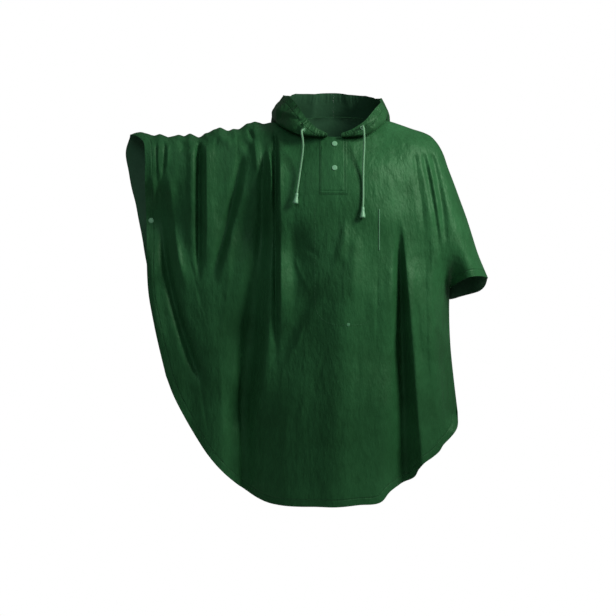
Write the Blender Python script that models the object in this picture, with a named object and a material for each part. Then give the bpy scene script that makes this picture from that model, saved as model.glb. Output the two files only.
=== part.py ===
"""Rain poncho with a hood, worn with no wearer: the right arm is held out level, the left hangs.

Metres, +Z up, +X to the wearer's left, front towards -Y. The origin is the middle of the neck
opening, at the height where the neck seam crosses the shoulders' front.

Each panel is one layer of cloth. Its outline lies in the front view (x, z), and its depth, the
distance in front of or behind the plane of the arms, is worked out from a few stations on a
general figure, rounded over the shoulder seam, with each large fold added as a trough or ridge.
"""

import math

import bmesh
import bpy
import numpy as np
from mathutils import Vector

# ------------------------------------------------------------------ sizes
WALL = 0.0016  # cloth
SEAM_GAP = 0.0003  # between pieces sewn edge to edge
LAP_GAP = 0.0005  # between a panel and what lies on it
BAG_GAP = 0.0030  # between the front and the pocket bag behind it
FRONTWARD, BACKWARD = (0, -1, 0), (0, 1, 0)

SHOULDER_ROUND = 0.048  # how far in from the shoulder seam the cloth turns to hang
SIDE_ROUND = 0.062  # the same at the closed left side
SNAP_PULL = 0.5  # how much further the left side snap pulls the cloth upwards than sideways
ROUND_ROWS = (0.0, 0.0035, 0.013, 0.028, 0.048)  # rows over that turn, from the seam
PINCH = 0.075  # reach of the pull of the right side snap

NECK_HALF_WIDTH = 0.105
NECK_SIDE_Z = 0.022
NECK_FRONT_DROP = 0.053
NECK_BACK_RISE = 0.013

SNAP_ROWS = (0.020, 0.042)  # rows above and below the side snaps' row
ROWS_ABOVE, ROWS_BELOW = 4, 6  # even rows above and below those
ROWS_TO_ARM = len(ROUND_ROWS) + ROWS_ABOVE + 1  # rows down to the side snaps
ARM_REACH, SIDE_REACH = 0.35, 0.45  # share of the columns that bend with the edge at either end

PLACKET_LEFT, PLACKET_RIGHT = -0.037, 0.029
PLACKET_TOP, PLACKET_FOOT = -0.037, -0.179
POCKET_LEFT, POCKET_RIGHT = -0.050, 0.113
POCKET_TOP, POCKET_FOOT = -0.212, -0.511
POCKET_CORNER = 0.058
POCKET_ROWS, POCKET_COLUMNS = 7, 10  # of points, the rows down to the rounded corners
WELT_WIDTH, WELT_TOP, WELT_FOOT, WELT_ROWS = 0.005, -0.217, -0.321, 9
RIVET_PLACE = (0.034, -0.511)

SNAP_RADIUS, SNAP_HEIGHT = 0.0068, 0.0026
SNAP_PROFILE = ((0.94, 0), (1, 0.35), (0.86, 0.8), (0.4, 1))  # shares of radius and height
PLACKET_SNAPS = {"upper": -0.052, "lower": -0.114}  # z of each
LEFT_SNAP_PLACE = (0.4, 0.45)  # rows below the sleeve's corner, columns in from the side
RIVET_RADIUS, RIVET_HEIGHT = 0.0044, 0.0018
EYELET_RADIUS, EYELET_HOLE, EYELET_HEIGHT = 0.0056, 0.0033, 0.0016
CORD_DIAMETER, CORD_POINT_GAP = 0.0052, 2.2  # the gap between its points, in diameters
BELL_PROFILE = ((0.0034, 0), (0.0042, 0.0022), (0.0042, 0.0095), (0.0071, 0.0230), (0.0066, 0.0270))
CORD_JOIN = 0.0003  # between a cord and its bell or eyelet
ON_SEAM = 2e-5  # how near a point counts as on a seam
ON_LINE = 1e-6
MOST_MITRE = 1.5  # of the wall at a sharp bend
PLACE_STEPS = 12  # to find a place in a grid
CLEARING_STEPS, SLOPE_STEP = 8, 1e-4  # for points moved clear of a panel


def table(names, rows):
    """A short table: each row by the names of its columns."""
    return [dict(zip(names.split(), row)) for row in rows]


# ------------------------------------------------------------------ outlines in the front view, x and z
SHOULDER_RIGHT = [  # arm end to neck, along the top of the level arm, with its gathers
    (-0.540, -0.020), (-0.530, -0.018), (-0.515, -0.013), (-0.484, -0.016), (-0.437, -0.020),
    (-0.406, -0.021), (-0.374, -0.018), (-0.343, -0.021), (-0.328, -0.013), (-0.296, -0.003),
    (-0.265, -0.005), (-0.234, 0.003), (-0.213, 0.013), (-0.172, 0.012), (-0.105, 0.022),
]  # fmt: skip
SHOULDER_LEFT = [  # neck to sleeve end, down the outside of the hanging arm
    (0.105, 0.022), (0.140, 0.018), (0.172, 0.008), (0.203, -0.003), (0.234, -0.013),
    (0.250, -0.021), (0.265, -0.036), (0.281, -0.062), (0.296, -0.104), (0.312, -0.146),
    (0.328, -0.190), (0.343, -0.231), (0.359, -0.281), (0.374, -0.328), (0.390, -0.367),
    (0.400, -0.390),
]  # fmt: skip
BACK_ARCH = [(-0.070, 0.055), (0.000, 0.075), (0.070, 0.055)]  # of the shoulder line, behind the neck
SHOULDER_POINT_X = 0.255  # where the left shoulder turns down
SLEEVE_TOP_X = 0.281  # where the sleeve's outer edge starts

FRONT_EDGES = {
    "arm": [(-0.530, -0.018), (-0.511, -0.023), (-0.494, -0.036), (-0.488, -0.073), (-0.488, -0.138),
            (-0.488, -0.202), (-0.487, -0.242), (-0.485, -0.305), (-0.484, -0.369), (-0.481, -0.424),
            (-0.466, -0.509), (-0.450, -0.582), (-0.435, -0.643)],
    "hem": [(-0.435, -0.643), (-0.416, -0.692), (-0.388, -0.746), (-0.356, -0.800), (-0.325, -0.846),
            (-0.294, -0.882), (-0.263, -0.911), (-0.232, -0.935), (-0.201, -0.954), (-0.170, -0.966),
            (-0.139, -0.971), (-0.093, -0.973), (-0.047, -0.972), (0.000, -0.972), (0.059, -0.967),
            (0.122, -0.957), (0.139, -0.937), (0.168, -0.918), (0.206, -0.897), (0.215, -0.878),
            (0.228, -0.863), (0.251, -0.848), (0.269, -0.833), (0.278, -0.819), (0.297, -0.801),
            (0.316, -0.775), (0.321, -0.738)],
    "side_above": [(0.255, -0.025), (0.263, -0.140), (0.275, -0.294), (0.300, -0.417)],
    "side_below": [(0.300, -0.417), (0.299, -0.473), (0.302, -0.564), (0.311, -0.655), (0.321, -0.738)],
    "rim": [(0.300, -0.417), (0.307, -0.411), (0.316, -0.404), (0.334, -0.394), (0.351, -0.388),
            (0.369, -0.386), (0.386, -0.387), (0.400, -0.390)],
}  # fmt: skip
BACK_EDGES = {
    "arm": [(-0.530, -0.018), (-0.544, -0.055), (-0.537, -0.112), (-0.529, -0.154), (-0.517, -0.196),
            (-0.508, -0.239), (-0.500, -0.280), (-0.494, -0.322), (-0.486, -0.369), (-0.481, -0.424),
            (-0.465, -0.509), (-0.433, -0.643)],
    "hem": [(-0.433, -0.643), (-0.386, -0.742), (-0.322, -0.842), (-0.260, -0.908), (-0.200, -0.950),
            (-0.139, -0.968), (-0.047, -0.970), (0.060, -0.964), (0.125, -0.949), (0.190, -0.908),
            (0.245, -0.853), (0.292, -0.795), (0.311, -0.765), (0.316, -0.734)],
    "side_above": [(0.255, -0.025), (0.263, -0.140), (0.275, -0.294), (0.299, -0.446)],
    "side_below": [(0.299, -0.446), (0.297, -0.482), (0.298, -0.564), (0.307, -0.655), (0.316, -0.734)],
    "rim": [(0.299, -0.446), (0.312, -0.444), (0.330, -0.439), (0.349, -0.434), (0.368, -0.429),
            (0.384, -0.423), (0.394, -0.414), (0.399, -0.403), (0.400, -0.390)],
}  # fmt: skip

# Columns of both panels: where they leave the shoulders, where they meet each hem, and how many
# lie between one stop and the next.
COLUMNS = table("top front back count", [
    (-0.530, -0.435, -0.433, 0), (-0.500, -0.420, -0.420, 2), (-0.440, -0.386, -0.388, 4),
    (-0.365, -0.350, -0.352, 4), (-0.343, -0.332, -0.334, 3), (-0.318, -0.312, -0.314, 3),
    (-0.215, -0.240, -0.238, 6), (-0.160, -0.190, -0.184, 4), (-0.142, -0.150, -0.150, 3),
    (-0.125, -0.125, -0.126, 2), (-0.105, -0.107, -0.109, 1), (-0.0985, -0.099, -0.100, 1),
    (-0.088, -0.089, -0.090, 1), (-0.037, -0.037, -0.037, 3), (0.029, 0.029, 0.029, 4),
    (0.088, 0.089, 0.090, 3), (0.0985, 0.099, 0.100, 1), (0.105, 0.108, 0.110, 1),
    (0.145, 0.160, 0.156, 3), (0.160, 0.192, 0.182, 3), (0.178, 0.222, 0.206, 3),
    (0.215, 0.262, 0.256, 3), (0.240, 0.300, 0.294, 3), (0.255, 0.321, 0.316, 2),
])  # fmt: skip
SLEEVE_COLUMNS = (0.0, 0.14, 0.28, 0.44, 0.60, 0.76, 0.88, 0.965, 1.0)  # from the side to the outer seam

# ------------------------------------------------------------------ depth of the cloth
FRONT_STATIONS = [  # x, z, depth
    # level arm
    (-0.504, -0.057, 0.045), (-0.504, -0.148, 0.048), (-0.485, -0.240, 0.040), (-0.478, -0.420, 0.022),
    (-0.440, -0.630, 0.030), (-0.426, -0.110, 0.052), (-0.426, -0.340, 0.046), (-0.348, -0.060, 0.050),
    (-0.348, -0.265, 0.060), (-0.348, -0.525, 0.062), (-0.335, -0.810, 0.058), (-0.244, -0.057, 0.058),
    (-0.244, -0.290, 0.070), (-0.244, -0.600, 0.074), (-0.244, -0.915, 0.068), (-0.187, -0.057, 0.064),
    (-0.187, -0.265, 0.070), (-0.187, -0.525, 0.084), (-0.192, -0.760, 0.088), (-0.180, -0.967, 0.092),
    # torso
    (-0.127, -0.018, 0.060), (-0.127, -0.096, 0.104), (-0.127, -0.240, 0.122), (-0.127, -0.450, 0.124),
    (-0.127, -0.710, 0.120), (-0.127, -0.970, 0.120), (0.000, -0.030, 0.100), (0.000, -0.110, 0.128),
    (0.000, -0.240, 0.142), (0.000, -0.450, 0.148), (0.000, -0.710, 0.150), (0.000, -0.975, 0.154),
    (0.120, -0.025, 0.062), (0.120, -0.110, 0.112), (0.120, -0.240, 0.134), (0.120, -0.450, 0.144),
    (0.120, -0.710, 0.148), (0.120, -0.955, 0.150),
    # hanging arm and left side
    (0.198, -0.057, 0.068), (0.185, -0.187, 0.104), (0.185, -0.343, 0.114), (0.185, -0.577, 0.118),
    (0.185, -0.915, 0.118), (0.255, -0.096, 0.062), (0.255, -0.213, 0.096), (0.255, -0.370, 0.106),
    (0.255, -0.577, 0.108), (0.250, -0.810, 0.102), (0.307, -0.240, 0.084), (0.333, -0.370, 0.092),
    (0.380, -0.382, 0.075), (0.300, -0.710, 0.080),
]  # fmt: skip
BACK_STATIONS = [
    # level arm
    (-0.530, -0.060, 0.046), (-0.520, -0.150, 0.048), (-0.490, -0.270, 0.034), (-0.478, -0.420, 0.020),
    (-0.440, -0.630, 0.028), (-0.426, -0.110, 0.052), (-0.426, -0.340, 0.044), (-0.348, -0.060, 0.052),
    (-0.348, -0.265, 0.058), (-0.348, -0.525, 0.060), (-0.335, -0.810, 0.055), (-0.244, -0.060, 0.062),
    (-0.244, -0.290, 0.078), (-0.244, -0.600, 0.080), (-0.244, -0.915, 0.078),
    # back
    (-0.150, -0.050, 0.085), (-0.160, -0.140, 0.126), (-0.160, -0.300, 0.135), (-0.160, -0.600, 0.130),
    (-0.160, -0.950, 0.126), (0.000, 0.030, 0.085), (0.000, -0.040, 0.112), (0.000, -0.120, 0.138),
    (0.000, -0.240, 0.150), (0.000, -0.450, 0.150), (0.000, -0.710, 0.152), (0.000, -0.960, 0.158),
    (0.150, -0.050, 0.080), (0.160, -0.140, 0.120), (0.160, -0.300, 0.136), (0.160, -0.600, 0.140),
    (0.160, -0.920, 0.140),
    # hanging arm and left side
    (0.255, -0.096, 0.066), (0.255, -0.213, 0.098), (0.255, -0.370, 0.108), (0.255, -0.577, 0.110),
    (0.250, -0.810, 0.105), (0.307, -0.240, 0.084), (0.333, -0.370, 0.090), (0.380, -0.400, 0.075),
    (0.300, -0.710, 0.080),
]  # fmt: skip

# Folds: each runs from a top point to a low one, bowed sideways in its middle. Its sides fall
# away over left and right, grown by spread at the low end. Positive heights are ridges. It
# fades in and out over those shares of its length, and 0 lets it run on past its end.
FOLD_NAMES = "x z low_x low_z bow left right spread height fade_in fade_out"
FRONT_FOLDS = table(FOLD_NAMES, [
    # drape of the level arm
    (-0.452, -0.120, -0.334, -0.668, -0.032, 0.013, 0.011, 1.6, -0.022, 0.12, 0.25),
    (-0.427, -0.110, -0.378, -0.440, -0.010, 0.010, 0.012, 1.3, 0.010, 0.20, 0.30),
    (-0.474, -0.300, -0.436, -0.600, -0.010, 0.016, 0.016, 1.2, 0.009, 0.25, 0.30),
    (-0.349, -0.036, -0.349, -0.420, 0.000, 0.008, 0.008, 1.1, -0.023, 0.05, 0.35),
    (-0.367, -0.040, -0.369, -0.380, 0.000, 0.010, 0.009, 1.3, 0.006, 0.10, 0.40),
    (-0.329, -0.040, -0.326, -0.400, 0.002, 0.009, 0.026, 1.2, 0.010, 0.08, 0.40),
    (-0.234, -0.055, -0.322, -0.425, 0.007, 0.011, 0.011, 1.3, -0.013, 0.15, 0.30),
    (-0.222, -0.130, -0.296, -0.416, -0.002, 0.011, 0.014, 1.3, 0.008, 0.25, 0.25),
    (-0.318, -0.440, -0.306, -0.880, 0.006, 0.026, 0.030, 1.2, 0.012, 0.30, 0.0),
    (-0.385, -0.520, -0.365, -0.780, 0.004, 0.018, 0.018, 1.3, -0.006, 0.30, 0.0),
    # the deep valley below the arm, and the torso's edge over it
    (-0.184, -0.060, -0.194, -0.420, 0.006, 0.012, 0.012, 1.4, -0.020, 0.25, 0.40),
    (-0.190, -0.280, -0.250, -0.800, 0.004, 0.026, 0.024, 1.2, -0.032, 0.35, 0.25),
    (-0.250, -0.640, -0.243, -0.970, 0.000, 0.030, 0.036, 1.1, -0.026, 0.40, 0.0),
    (-0.206, -0.030, -0.190, -0.150, 0.000, 0.008, 0.008, 1.3, 0.009, 0.25, 0.40),
    (-0.167, -0.050, -0.168, -0.210, 0.004, 0.007, 0.007, 1.2, 0.010, 0.25, 0.35),
    (-0.163, -0.300, -0.170, -0.600, 0.000, 0.009, 0.009, 1.2, 0.007, 0.30, 0.30),
    (-0.151, -0.050, -0.149, -0.640, 0.000, 0.009, 0.006, 1.2, -0.013, 0.12, 0.40),
    (-0.139, -0.030, -0.138, -0.620, 0.000, 0.006, 0.022, 1.3, 0.013, 0.12, 0.40),
    # torso
    (-0.100, -0.220, -0.100, -0.540, 0.000, 0.018, 0.034, 1.2, -0.011, 0.30, 0.35),
    (-0.036, -0.400, -0.140, -0.590, 0.000, 0.012, 0.012, 1.2, -0.006, 0.30, 0.30),
    (0.029, -0.245, 0.008, -0.360, 0.000, 0.010, 0.012, 1.2, 0.006, 0.30, 0.30),
    (0.034, -0.230, 0.004, -0.970, 0.000, 0.045, 0.035, 1.1, 0.012, 0.25, 0.0),
    (0.054, -0.260, 0.046, -0.470, 0.000, 0.014, 0.016, 1.2, 0.006, 0.30, 0.35),
    # below the left arm
    (0.146, -0.270, 0.142, -0.840, 0.000, 0.016, 0.012, 1.3, 0.005, 0.25, 0.25),
    (0.159, -0.225, 0.182, -0.940, 0.002, 0.012, 0.009, 2.2, -0.033, 0.15, 0.0),
    (0.174, -0.240, 0.214, -0.880, 0.004, 0.008, 0.026, 1.3, 0.020, 0.15, 0.0),
    (0.205, -0.075, 0.216, -0.300, 0.000, 0.010, 0.010, 1.3, -0.005, 0.25, 0.40),
    (0.229, -0.070, 0.256, -0.340, 0.000, 0.010, 0.010, 1.2, -0.007, 0.25, 0.35),
    (0.243, -0.075, 0.270, -0.360, 0.000, 0.009, 0.009, 1.2, 0.004, 0.25, 0.35),
    (0.262, -0.080, 0.294, -0.430, 0.000, 0.011, 0.011, 1.2, -0.011, 0.25, 0.20),
    (0.248, -0.440, 0.262, -0.840, 0.000, 0.020, 0.020, 1.2, 0.006, 0.30, 0.0),
    (0.283, -0.500, 0.296, -0.800, 0.000, 0.010, 0.010, 1.3, -0.007, 0.30, 0.0),
])  # fmt: skip
BACK_FOLDS = table(FOLD_NAMES, [
    # drape of the level arm
    (-0.450, -0.100, -0.380, -0.600, -0.015, 0.014, 0.014, 1.6, -0.023, 0.15, 0.30),
    (-0.425, -0.140, -0.365, -0.520, -0.010, 0.012, 0.012, 1.5, 0.014, 0.20, 0.30),
    (-0.335, -0.036, -0.330, -0.480, 0.004, 0.010, 0.010, 1.6, -0.026, 0.08, 0.40),
    (-0.305, -0.050, -0.290, -0.560, 0.004, 0.012, 0.014, 1.5, 0.014, 0.15, 0.40),
    (-0.240, -0.070, -0.262, -0.620, 0.004, 0.016, 0.014, 1.5, -0.018, 0.15, 0.30),
    (-0.330, -0.480, -0.318, -0.840, 0.0, 0.022, 0.020, 1.3, 0.012, 0.30, 0.0),
    (-0.280, -0.600, -0.272, -0.900, 0.0, 0.020, 0.020, 1.3, -0.012, 0.30, 0.0),
    # below the right shoulder blade
    (-0.190, -0.090, -0.214, -0.640, 0.0, 0.018, 0.014, 1.5, -0.039, 0.15, 0.25),
    (-0.160, -0.120, -0.166, -0.960, 0.0, 0.012, 0.022, 1.7, 0.021, 0.20, 0.0),
    (-0.110, -0.260, -0.118, -0.965, 0.0, 0.018, 0.018, 1.8, -0.017, 0.30, 0.0),
    (-0.050, -0.300, -0.060, -0.970, 0.0, 0.020, 0.020, 1.7, 0.013, 0.30, 0.0),
    (0.010, -0.280, 0.006, -0.970, 0.0, 0.018, 0.018, 1.8, -0.016, 0.30, 0.0),
    (0.070, -0.300, 0.072, -0.965, 0.0, 0.020, 0.020, 1.7, 0.014, 0.30, 0.0),
    (0.118, -0.250, 0.130, -0.945, 0.0, 0.016, 0.016, 1.8, -0.018, 0.25, 0.0),
    # below the left shoulder blade and arm
    (0.160, -0.160, 0.176, -0.920, 0.0, 0.014, 0.018, 1.6, 0.017, 0.20, 0.0),
    (0.196, -0.140, 0.222, -0.880, 0.0, 0.014, 0.012, 1.9, -0.036, 0.20, 0.0),
    (0.236, -0.080, 0.258, -0.340, 0.0, 0.011, 0.011, 1.3, -0.016, 0.25, 0.35),
    (0.262, -0.080, 0.292, -0.430, 0.0, 0.011, 0.011, 1.2, -0.023, 0.25, 0.20),
    (0.256, -0.460, 0.270, -0.820, 0.0, 0.018, 0.018, 1.3, 0.010, 0.30, 0.0),
])  # fmt: skip

RIGHT_SNAP = (-0.475, -0.242)  # x, z of the snap that closes the level arm's opening
SNAP_DEPTH = 0.0030  # of each layer at a side snap
SIDE_EDGE_DEPTH, SIDE_EDGE_RUN = 0.004, 0.15  # of each layer's edge below the left side snap

# ------------------------------------------------------------------ hood, drawcords
# Sections of each half. Neck is the place on the neck seam: 0 at the front opening, 1 at the
# side and 2 in the middle of the back. From there each section runs under to the turn, rises by
# the wall and ends at the face edge. Round is the radius of the turn.
HOOD_NAMES = "neck turn wall edge round"
HOOD_RIGHT = table(HOOD_NAMES, [
    (0.00, (-0.018, -0.112, -0.033), (-0.018, -0.114, -0.029), (-0.018, -0.110, -0.023), 0.0030),
    (0.30, (-0.054, -0.112, -0.031), (-0.056, -0.114, -0.020), (-0.050, -0.108, -0.005), 0.0035),
    (0.52, (-0.088, -0.104, -0.028), (-0.093, -0.106, -0.003), (-0.074, -0.098, 0.020), 0.0045),
    (0.72, (-0.122, -0.080, -0.014), (-0.127, -0.078, 0.018), (-0.096, -0.074, 0.053), 0.0060),
    (0.88, (-0.148, -0.044, 0.002), (-0.149, -0.038, 0.036), (-0.113, -0.036, 0.075), 0.0070),
    (1.00, (-0.158, 0.004, 0.020), (-0.154, 0.008, 0.048), (-0.124, 0.008, 0.081), 0.0070),
    (1.35, (-0.160, 0.080, -0.014), (-0.154, 0.092, 0.032), (-0.124, 0.066, 0.090), 0.0090),
    (1.70, (-0.108, 0.154, -0.094), (-0.110, 0.182, -0.014), (-0.080, 0.128, 0.100), 0.0110),
    (2.00, (0.000, 0.170, -0.118), (0.000, 0.206, -0.030), (0.000, 0.148, 0.104), 0.0120),
])  # fmt: skip
HOOD_LEFT = table(HOOD_NAMES, [
    (0.00, (0.018, -0.112, -0.033), (0.018, -0.114, -0.029), (0.018, -0.110, -0.022), 0.0030),
    (0.30, (0.054, -0.112, -0.031), (0.057, -0.114, -0.021), (0.050, -0.108, -0.009), 0.0035),
    (0.52, (0.086, -0.102, -0.027), (0.092, -0.104, -0.007), (0.078, -0.097, 0.011), 0.0045),
    (0.72, (0.112, -0.080, -0.012), (0.118, -0.078, 0.014), (0.100, -0.074, 0.038), 0.0060),
    (0.88, (0.130, -0.044, 0.004), (0.132, -0.038, 0.028), (0.114, -0.036, 0.056), 0.0070),
    (1.00, (0.139, 0.004, 0.026), (0.136, 0.008, 0.046), (0.120, 0.008, 0.070), 0.0070),
    (1.35, (0.146, 0.080, -0.010), (0.141, 0.092, 0.030), (0.117, 0.066, 0.082), 0.0090),
    (1.70, (0.104, 0.152, -0.092), (0.105, 0.180, -0.014), (0.078, 0.128, 0.094), 0.0110),
    (2.00, (0.000, 0.170, -0.118), (0.000, 0.206, -0.030), (0.000, 0.148, 0.104), 0.0120),
])  # fmt: skip
HOOD_STEPS = (0, 0.25, 0.6, 1, 1.5, 2, 2.35, 2.65, 3, 3.4, 4, 4.35, 4.7, 5)  # rows, by a section's points
HOOD_OPENING = 0.018  # half the gap between the halves at the front
HOOD_CELL = 0.004  # least width of the first one
HOOD_LIFT = 0.0006  # above the neck cut
HOOD_SAG = 0.0015  # how far the under layer bows up
HOOD_CLEARANCE = 0.0025  # of the hood over the shoulders

HOOD_FRONT = (7, 14)  # rows from the turn up, and columns, where the eyelets are
EYELETS = {"right": (-0.0795, -0.014), "left": (0.0703, -0.009)}
CORD_ROUTES = {  # by hand, from the eyelet down to the bell
    "right": [(-0.0798, -0.1126, -0.0140), (-0.0812, -0.1178, -0.0142), (-0.0825, -0.1224, -0.0153),
              (-0.0833, -0.1266, -0.0179), (-0.0835, -0.1298, -0.0218), (-0.0830, -0.1316, -0.0270),
              (-0.0818, -0.1321, -0.0340), (-0.0805, -0.1321, -0.0450), (-0.0802, -0.1320, -0.0600),
              (-0.0814, -0.1319, -0.0750), (-0.0834, -0.1319, -0.0900), (-0.0856, -0.1320, -0.1050),
              (-0.0877, -0.1325, -0.1200), (-0.0896, -0.1339, -0.1340), (-0.0915, -0.1364, -0.1480),
              (-0.0936, -0.1392, -0.1620), (-0.0957, -0.1419, -0.1765)],
    "left": [(0.0704, -0.1102, -0.0088), (0.0707, -0.1149, -0.0065), (0.0712, -0.1199, -0.0049),
             (0.0719, -0.1250, -0.0050), (0.0727, -0.1297, -0.0074), (0.0736, -0.1332, -0.0122),
             (0.0744, -0.1351, -0.0190), (0.0749, -0.1354, -0.0260), (0.0754, -0.1352, -0.0360),
             (0.0755, -0.1349, -0.0500), (0.0752, -0.1346, -0.0650), (0.0743, -0.1343, -0.0800),
             (0.0735, -0.1341, -0.0960), (0.0730, -0.1342, -0.1120), (0.0727, -0.1347, -0.1280),
             (0.0726, -0.1360, -0.1440), (0.0726, -0.1382, -0.1600), (0.0726, -0.1407, -0.1770),
             (0.0723, -0.1433, -0.1950), (0.0716, -0.1461, -0.2125)],
}  # fmt: skip

# ------------------------------------------------------------------ finishes: colour, roughness
CLOTH = ("coated_green_nylon", (0.035, 0.125, 0.055), 0.42)
SNAP_PLASTIC = ("light_green_snap", (0.24, 0.52, 0.33), 0.35)
CORD_GREEN = ("light_green_cord", (0.19, 0.43, 0.25), 0.70)


# ------------------------------------------------------------------ curves and depth
def through(points, places):
    """Points of a smooth curve through the given ones, at places from 0 to 1 along it."""
    points = np.asarray(points, float)
    run = np.r_[0.0, np.cumsum(np.linalg.norm(np.diff(points, axis=0), axis=1))]
    run /= run[-1]
    slope = np.gradient(points, run, axis=0)
    places = np.asarray(places, float)
    i = np.clip(np.searchsorted(run, places, side="right") - 1, 0, len(run) - 2)
    step = (run[i + 1] - run[i])[:, None]
    t = ((places - run[i]) / step[:, 0])[:, None]
    start = (1 + 2 * t) * (1 - t) ** 2 * points[i] + t * (1 - t) ** 2 * step * slope[i]
    end = t * t * (3 - 2 * t) * points[i + 1] + t * t * (t - 1) * step * slope[i + 1]
    return start + end


def fine(points, count=120):
    return through(points, np.linspace(0, 1, count))


def shoulder_line(back):
    """The line over which a panel turns: right shoulder, over the neck opening, left shoulder."""
    arch = np.array(BACK_ARCH if back else []).reshape(-1, 2)
    return np.r_[fine(SHOULDER_RIGHT), arch, fine(SHOULDER_LEFT)]


def top_z(x, back):
    """Height of a panel's top edge: right shoulder, neck cut, left shoulder."""
    cut = NECK_SIDE_Z + (NECK_BACK_RISE if back else -NECK_FRONT_DROP) * (1 - (x / NECK_HALF_WIDTH) ** 2)
    return np.where(np.abs(x) < NECK_HALF_WIDTH, cut, np.interp(x, *shoulder_line(back).T))


def distance(x, z, line):
    """How far each point is, in the front view, from a line of points."""
    start, step = line[:-1], np.diff(line, axis=0)
    away = np.stack([x, z], -1)[..., None, :] - start
    t = np.clip((away * step).sum(-1) / (step * step).sum(-1), 0, 1)
    return np.linalg.norm(away - t[..., None] * step, axis=-1).min(-1)


def closing(reach):
    """0 at a closed edge and 1 from reach 1 on, like half of a lens."""
    reach = np.clip(reach, 0, 1)
    return reach * (2 - reach)


def smooth(t):
    t = np.clip(t, 0, 1)
    return t * t * (3 - 2 * t)


def thin_plate(stations):
    """A smooth depth over x and z that passes through every station."""
    stations = np.array(stations)
    at, depth = stations[:, :2], stations[:, 2]

    def bend(gap):
        return gap * gap * np.log(gap + 1e-9)

    count = len(at)
    flat = np.c_[np.ones(count), at]
    matrix = np.zeros((count + 3, count + 3))
    matrix[:count, :count] = bend(np.linalg.norm(at[:, None] - at, axis=-1))
    matrix[:count, count:] = flat
    matrix[count:, :count] = flat.T
    weights = np.linalg.solve(matrix, np.r_[depth, np.zeros(3)])

    def depth_at(x, z):
        gap = np.linalg.norm(np.stack([x, z], -1)[..., None, :] - at, axis=-1)
        return bend(gap) @ weights[:count] + weights[count] + weights[-2] * x + weights[-1] * z

    return depth_at


def fold_depth(x, z, folds):
    """The folds' ridges and troughs, added up."""
    total = np.zeros(np.shape(x))
    for fold in folds:
        start = np.array([fold["x"], fold["z"]])
        way = np.array([fold["low_x"], fold["low_z"]]) - start
        length = np.linalg.norm(way)
        way /= length
        t = ((x - start[0]) * way[0] + (z - start[1]) * way[1]) / length
        inside = np.clip(t, 0, 1)
        across = -(x - start[0]) * way[1] + (z - start[1]) * way[0]
        across = across - fold["bow"] * 4 * inside * (1 - inside)
        width = np.where(across < 0, fold["left"], fold["right"]) * (1 + (fold["spread"] - 1) * inside)
        fade = 1.0
        if fold["fade_in"]:
            fade = fade * smooth(t / fold["fade_in"])
        if fold["fade_out"]:
            fade = fade * smooth((1 - t) / fold["fade_out"])
        total += fold["height"] * fade * np.exp(-((across / width) ** 2))
    return total


def full_depth(stations, folds, edges):
    """The depth of a panel's outer face away from the shoulder line, as a function of x and z."""
    base = thin_plate(stations)
    side = fine(edges["side_below"])
    corner = side[0, 1]

    def depth_at(x, z):
        depth = base(x, z) + fold_depth(x, z, folds)
        snap = np.hypot(x - RIGHT_SNAP[0], z - RIGHT_SNAP[1])
        depth = SNAP_DEPTH + (depth - SNAP_DEPTH) * (1 - np.exp(-((snap / PINCH) ** 2)))
        edge = SNAP_DEPTH + SIDE_EDGE_DEPTH * smooth((corner - z) / SIDE_EDGE_RUN)
        pulled_z = np.where(z > corner, corner + (z - corner) * SNAP_PULL, z)
        depth = edge + (depth - edge) * closing(distance(x, pulled_z, side) / SIDE_ROUND)
        return np.maximum(depth, SNAP_DEPTH)

    return depth_at


class Panel:
    """The outer face of one panel: its full depth, turned over the shoulder line as a quarter circle."""

    def __init__(self, stations, folds, edges, back):
        self.edges, self.back = edges, back
        self.facing = 1 if back else -1
        self.outward = (0, self.facing, 0)
        self.full = full_depth(stations, folds, edges)
        self.line = shoulder_line(back)

    def turn(self, x, z):
        """0 from the end of the turn on, 1 on the shoulder line and more above it."""
        away = np.maximum(distance(x, z, self.line) - ON_LINE, 0)
        away = np.where(z > np.interp(x, *self.line.T), -away, away)
        return 1 - np.minimum(away / SHOULDER_ROUND, 1)

    def points(self, x, z):
        depth = self.full(x, z) * np.sqrt(np.maximum(1 - self.turn(x, z) ** 2, 0))
        return np.stack([x, self.facing * (SEAM_GAP / 2 + depth), z], -1)

    def outside(self, at):
        """Below 0 behind the outer face and above 0 in front of it."""
        x, z = at[..., 0], at[..., 2]
        return np.hypot(self.turn(x, z), np.maximum(at[..., 1] * self.facing, 0) / self.full(x, z)) - 1

    def slope(self, at):
        here = self.outside(at)
        steps = np.eye(3) * SLOPE_STEP
        return here, np.stack([(self.outside(at + step) - here) / SLOPE_STEP for step in steps], -1)

    def cleared(self, at, gap):
        """Points that are behind the face or nearer to it than the gap, moved out to the gap."""
        at = np.array(at)
        for _ in range(CLEARING_STEPS):
            here, slope = self.slope(at)
            steep = np.maximum(np.linalg.norm(slope, axis=-1), SLOPE_STEP)
            short = np.clip(gap - here / steep, 0, gap)
            short = np.where(at[..., 1] * self.facing < 0, 0, short)
            at = at + slope / steep[..., None] * short[..., None]
        return at


# ------------------------------------------------------------------ grids of points
def coons(top, low, left, right, across, down):
    """A net between four edge curves that meet at their ends; across and down run from 0 to 1."""
    flat_across, flat_down = across.ravel(), down.ravel()
    u, v = flat_across[:, None], flat_down[:, None]
    ends = (1 - v) * through(top, flat_across) + v * through(low, flat_across)
    sides = (1 - u) * through(left, flat_down) + u * through(right, flat_down)
    corners = (1 - v) * ((1 - u) * top[0] + u * top[-1]) + v * ((1 - u) * low[0] + u * low[-1])
    return (ends + sides - corners).reshape(*across.shape, 2)


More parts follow.
